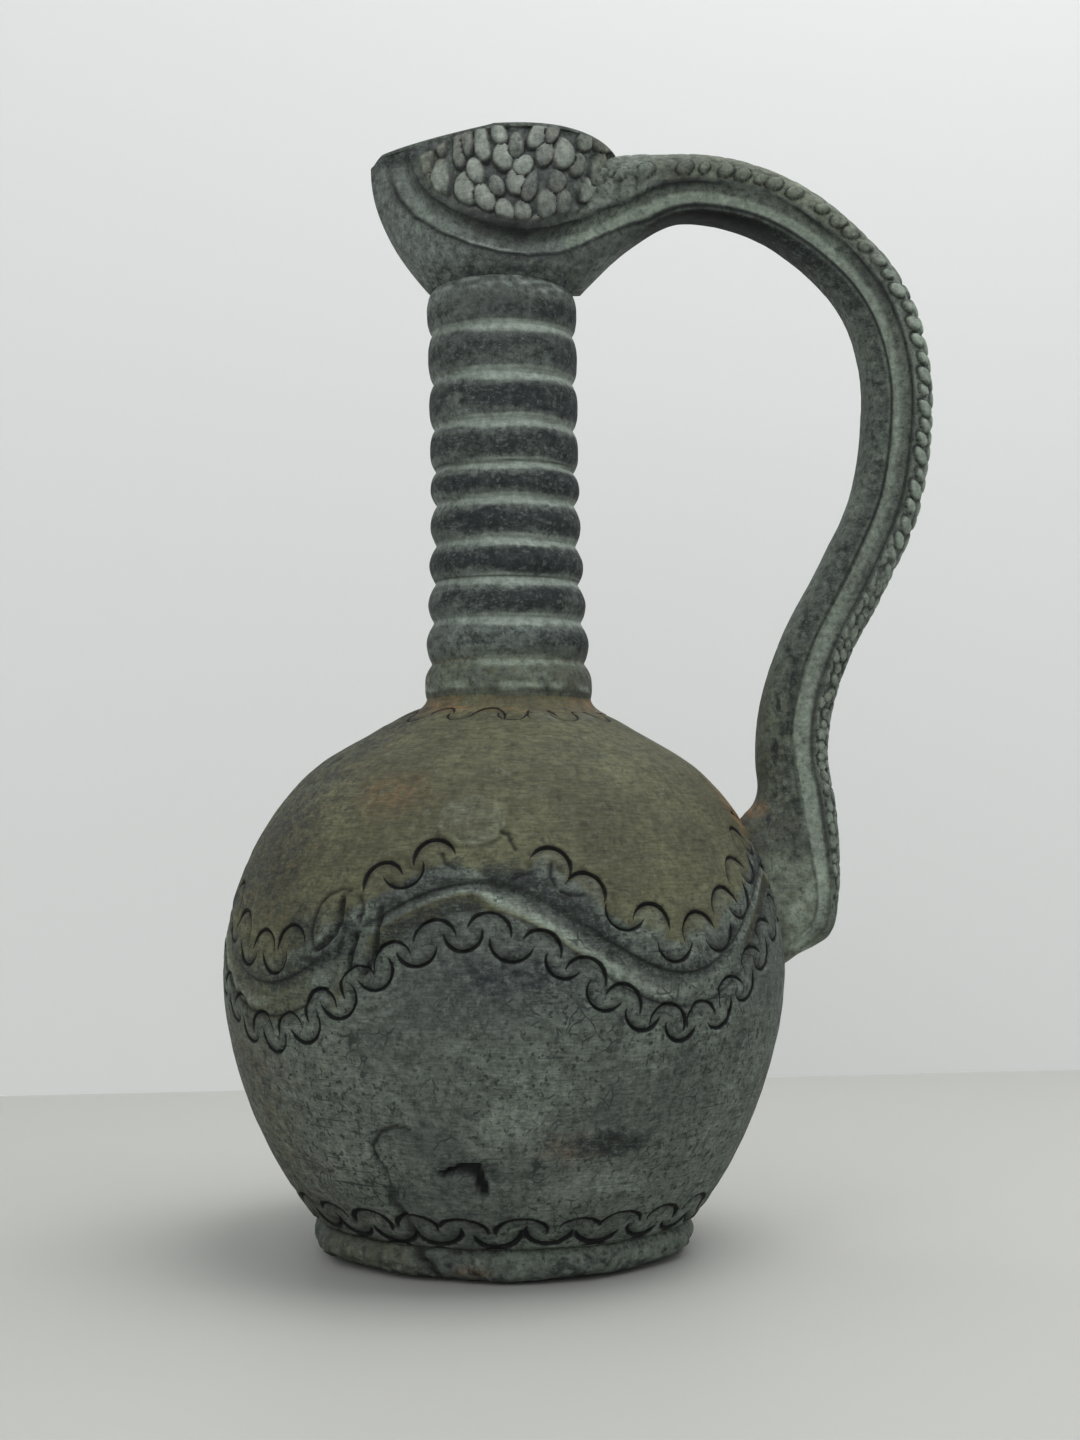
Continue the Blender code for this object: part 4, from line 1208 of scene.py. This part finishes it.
def scaled(tree, colour, noise, amount, darkest=None):
    """A colour made lighter and darker by noise: up to an amount more, and as much less unless told."""
    least = 1.0 - amount if darkest is None else darkest
    factor = ramp(tree, noise, 0.36, 0.64, least, 1.0 + amount)
    return put(tree, "VectorMath", {0: colour, "Scale": factor}, operation="SCALE")[0]


def fine_cracks(tree, where, patch, cloud):
    """Hairline cracks in patches, between cells of bent places, and short level scratches."""
    noise = put(tree, "TexNoise", {"Vector": where, "Scale": 180.0, "Detail": 2.0})["Color"]
    bend = put(tree, "VectorMath", {0: noise, "Scale": 0.004}, operation="SCALE")[0]
    bent = put(tree, "VectorMath", {0: where, 1: bend}, operation="ADD")[0]
    cells = put(tree, "TexVoronoi", {"Vector": bent, "Scale": 200.0}, feature="DISTANCE_TO_EDGE")[0]
    cracks = times(tree, step(tree, cells, 0.06, 0.02), step(tree, patch, 0.52, 0.62))
    hair = grain(tree, stretched(tree, where, 45.0, 1300.0), 1.0, 2.0, 0.5)
    hairs = times(tree, step(tree, hair, 0.65, 0.70), step(tree, cloud, 0.44, 0.62))
    return largest(tree, cracks, hairs)


def painted(tree, name):
    """The three parts of a painted field."""
    field = put(tree, "Attribute", {}, attribute_name=name)["Vector"]
    return put(tree, "SeparateXYZ", {0: field})


def arc_lines(tree, noise):
    """Dark lines of uneven width along the stamped arcs, from distances, held to the arcs' lengths, and
    painted shade just inside each arc.
    """
    thin = calc(tree, "MULTIPLY_ADD", noise, 0.8, -0.42)
    masks = []
    for far, end in zip(painted(tree, "chain")[:2], painted(tree, "ends")[:2]):
        taper = calc(tree, "MULTIPLY_ADD", end, -0.42, 0.42)
        width = calc(tree, "ADD", calc(tree, "ABSOLUTE", far), thin)
        width = calc(tree, "ADD", width, taper)
        masks.append(times(tree, step(tree, width, 0.68, 0.30), step(tree, end, 0.02, 0.30)))
        # painted shade just inside the arc, darkest by the line and fading inwards
        masks.append(times(tree, step(tree, far, -2.4, -0.3), step(tree, far, 0.2, -0.1), end, 0.45))
    return largest(tree, *masks)


def new_finish(name):
    """A new material, its node tree and its shader."""
    finish = bpy.data.materials.new(name)
    finish.use_nodes = True
    return finish, finish.node_tree, finish.node_tree.nodes["Principled BSDF"]


def patina(name, stamped=False):
    """Dry green patina over dark clay: mottled, streaked, speckled, pale in hollows, dark on rubbed crests.

    The stamped belly also has the arcs' dark lines, fine cracks and stronger brush strokes.
    The painted fields also bring painted highlights, laid on as pale, and painted shade, laid on as dark.
    """
    finish, tree, shader = new_finish(name)
    where = put(tree, "TexCoord", {})["Object"]
    flat = stretched(tree, where, 1.0, 7.0)
    level = stretched(tree, where, 1.0, 1.8)
    upright = stretched(tree, where, 1.0, 0.25)
    # marks: dark lines with painted shade in them, pale hollows with painted highlights, rubbed crests with
    # painted shade
    line, pale_mark_and_highlight, crest = painted(tree, "marks")
    yellowed, bare, cold = painted(tree, "tints")

    cloud = grain(tree, where, 28.0, 5.0, 0.62)
    patch = grain(tree, where, 95.0, 5.0, 0.65)
    streak = grain(tree, flat, 60.0, 6.0, 0.70)
    mottle = grain(tree, where, 380.0, 8.0, 0.80)
    dust = grain(tree, where, 330.0, 5.0, 0.75)
    speck = grain(tree, where, 620.0, 2.0, 0.5)
    fleck = grain(tree, where, 480.0, 3.0, 0.6)

    # Green and olive ground with darker blotches and level streaks
    colour = mix(tree, step(tree, cloud, 0.38, 0.62), BLUE_GREEN, GREEN)
    olive = mix(tree, step(tree, cloud, 0.36, 0.64), OLIVE_DARK, OLIVE)
    ochre = worn(tree, yellowed, dust, 0.5)
    colour = mix(tree, ochre, colour, olive)
    darker = mix(tree, 0.50, colour, DARK)
    blotch = ramp(tree, ochre, 0.0, 1.0, 0.36, 0.08)
    colour = mix(tree, times(tree, step(tree, patch, 0.50, 0.68), blotch), colour, darker)
    colour = mix(tree, times(tree, step(tree, streak, 0.52, 0.66), 0.55), colour, darker)

    # Raw clay, pale hollows and painted highlights, rubbed crests and painted shade, with grit on them
    colour = mix(tree, times(tree, bare, step(tree, dust, 0.34, 0.62)), colour, RAW_CLAY)
    hollow_and_highlight = times(tree, worn(tree, pale_mark_and_highlight, dust, 0.5), pale_mark_and_highlight)
    colour = mix(tree, hollow_and_highlight, colour, PALE)
    brushed = grain(tree, level, 240.0, 7.0, 0.8)
    rubbed_and_shaded = times(tree, worn(tree, crest, brushed, 1.8, 0.16, 0.80), 0.91)
    colour = mix(tree, rubbed_and_shaded, colour, DARK)
    grit = step(tree, grain(tree, level, 700.0, 5.0, 0.8), 0.50, 0.60)
    grit = times(tree, grit, rubbed_and_shaded, step(tree, patch, 0.40, 0.60), 0.24)
    colour = mix(tree, grit, colour, PALE)

    # Mottling, brush strokes and a cooler tint
    calm = times(tree, largest(tree, ochre, hollow_and_highlight), 0.45)
    lively = less(tree, 1.0, calm)
    even = put(tree, "Mix", {0: calm, 2: mottle, 3: 0.5}, data_type="FLOAT")[0]
    colour = scaled(tree, colour, even, 0.58, 0.46)
    colour = scaled(tree, colour, grain(tree, upright, 620.0, 3.0, 0.6), 0.07)
    colour = scaled(tree, colour, grain(tree, flat, 260.0, 3.0, 0.6), 0.20 if stamped else 0.07)
    cooler = put(tree, "VectorMath", {0: colour, 1: COOLER}, operation="MULTIPLY")[0]
    colour = mix(tree, cold, colour, cooler)

    # Light flecks, dirt, and dark lines, which also carry painted shade
    light = times(tree, step(tree, fleck, 0.58, 0.66), step(tree, patch, 0.62, 0.40))
    colour = mix(tree, times(tree, light, times(tree, lively, 0.20)), colour, PALE)
    clean = less(tree, step(tree, cloud, 0.36, 0.56), hollow_and_highlight)
    dirt = times(tree, step(tree, speck, 0.58, 0.65), lively, clean)
    if stamped:
        cracks = fine_cracks(tree, where, patch, cloud)
        dirt = largest(tree, dirt, times(tree, cracks, less(tree, 1.0, ochre)))
        line = largest(tree, line, arc_lines(tree, patch))
    colour = mix(tree, times(tree, dirt, 0.75 if stamped else 0.55), colour, DARK)
    colour = mix(tree, times(tree, line, 0.97), colour, LINE)

    tree.links.new(colour, shader.inputs["Base Color"])
    tree.links.new(ramp(tree, dust, 0.0, 1.0, 0.58, 0.85), shader.inputs["Roughness"])
    shader.inputs["Specular IOR Level"].default_value = 0.20
    fine = put(tree, "Bump", {"Height": mottle, "Strength": 0.35, "Distance": 0.0010})[0]
    coarse = put(tree, "Bump", {"Height": streak, "Strength": 0.25, "Distance": 0.0010, "Normal": fine})[0]
    tree.links.new(coarse, shader.inputs["Normal"])
    return finish


def raw_slip():
    """Unglazed brown slip, mottled."""
    finish, tree, shader = new_finish("raw_slip")
    where = put(tree, "TexCoord", {})["Object"]
    tone = grain(tree, where, 240.0, 5.0, 0.65)
    colour = mix(tree, step(tree, tone, 0.35, 0.65), SLIP_DARK, SLIP)
    tree.links.new(colour, shader.inputs["Base Color"])
    shader.inputs["Roughness"].default_value = 0.75
    bump = put(tree, "Bump", {"Height": tone, "Strength": 0.3, "Distance": 0.0008})[0]
    tree.links.new(bump, shader.inputs["Normal"])
    return finish


def pale_ground(name, colour):
    """Plain pale paint for the floor and the wall."""
    finish, _, shader = new_finish(name)
    shader.inputs["Base Color"].default_value = (*colour, 1.0)
    shader.inputs["Roughness"].default_value = 0.55
    shader.inputs["Specular IOR Level"].default_value = 0.25
    return finish


# Stage

def add_backdrop():
    """Pale table in front of a pale wall that stands a little askew."""
    half = 2.0
    near, far_left, far_right = -2.5, 0.01, 0.65
    height = 2.2
    points = [(-half, near, 0.0), (half, near, 0.0), (half, far_right, 0.0), (-half, far_left, 0.0)]
    points += [(half, far_right, height), (-half, far_left, height)]
    mesh = bpy.data.meshes.new("backdrop")
    mesh.from_pydata(points, [], [(0, 1, 2, 3), (3, 2, 4, 5)])
    mesh.materials.append(pale_ground("pale_wall", (0.80, 0.81, 0.80)))
    mesh.materials.append(pale_ground("pale_table", (0.48, 0.48, 0.455)))
    mesh.polygons[0].material_index = 1
    show("backdrop", mesh)


def add_lamp(name, place, target, size, power):
    """Square soft lamp aimed at a target."""
    light = bpy.data.lights.new(name, "AREA")
    light.size = size
    light.energy = power
    lamp = show(name, light)
    lamp.location = place
    lamp.rotation_euler = aim(place, target)


def aim(place, target):
    """Rotation that points an object's -Z from a place to a target, with +Y up."""
    x, y, z = (t - p for t, p in zip(target, place))
    across = math.hypot(x, y)
    return (math.atan2(across, -z), 0.0, math.atan2(-x, y))


def add_camera():
    """The photograph's viewpoint: level with the neck's foot and tilted slightly up."""
    view = bpy.data.cameras.new("camera")
    view.sensor_fit = "VERTICAL"
    view.sensor_height = 36.0
    view.sensor_width = 27.0
    view.lens = 52.5
    view.clip_start = 0.01
    camera = show("camera", view)
    camera.location = (0.0, -0.614, 0.1313)
    camera.rotation_euler = aim(camera.location, (0.0102, 0.0, 0.1518))
    bpy.context.scene.camera = camera


def add_world():
    """Even soft light from all round."""
    world = bpy.data.worlds.new("soft_room")
    world.use_nodes = True
    sky = world.node_tree.nodes["Background"]
    sky.inputs["Color"].default_value = (0.95, 0.98, 1.0, 1.0)
    sky.inputs["Strength"].default_value = 0.55
    bpy.context.scene.world = world


belly_finish = patina("belly_patina", stamped=True)
plain_finish = patina("plain_patina")
slip_finish = raw_slip()
add_lower_bowl(belly_finish)
add_upper_dome(belly_finish)
add_foot(plain_finish)
add_neck(plain_finish)
add_neck_slip(plain_finish)
add_head(plain_finish)
add_handle(plain_finish)
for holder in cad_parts["foot_slip_ring"].material_slots:
    holder.material = slip_finish

add_backdrop()
add_camera()
add_world()
add_lamp("top_softbox", (0.35, 0.00, 1.25), (0.0, 0.0, 0.15), 0.9, 11.0)
add_lamp("front_fill", (-0.5, -1.5, 0.9), (0.0, 0.0, 0.15), 1.2, 7.0)
bpy.context.scene.view_settings.view_transform = "Standard"
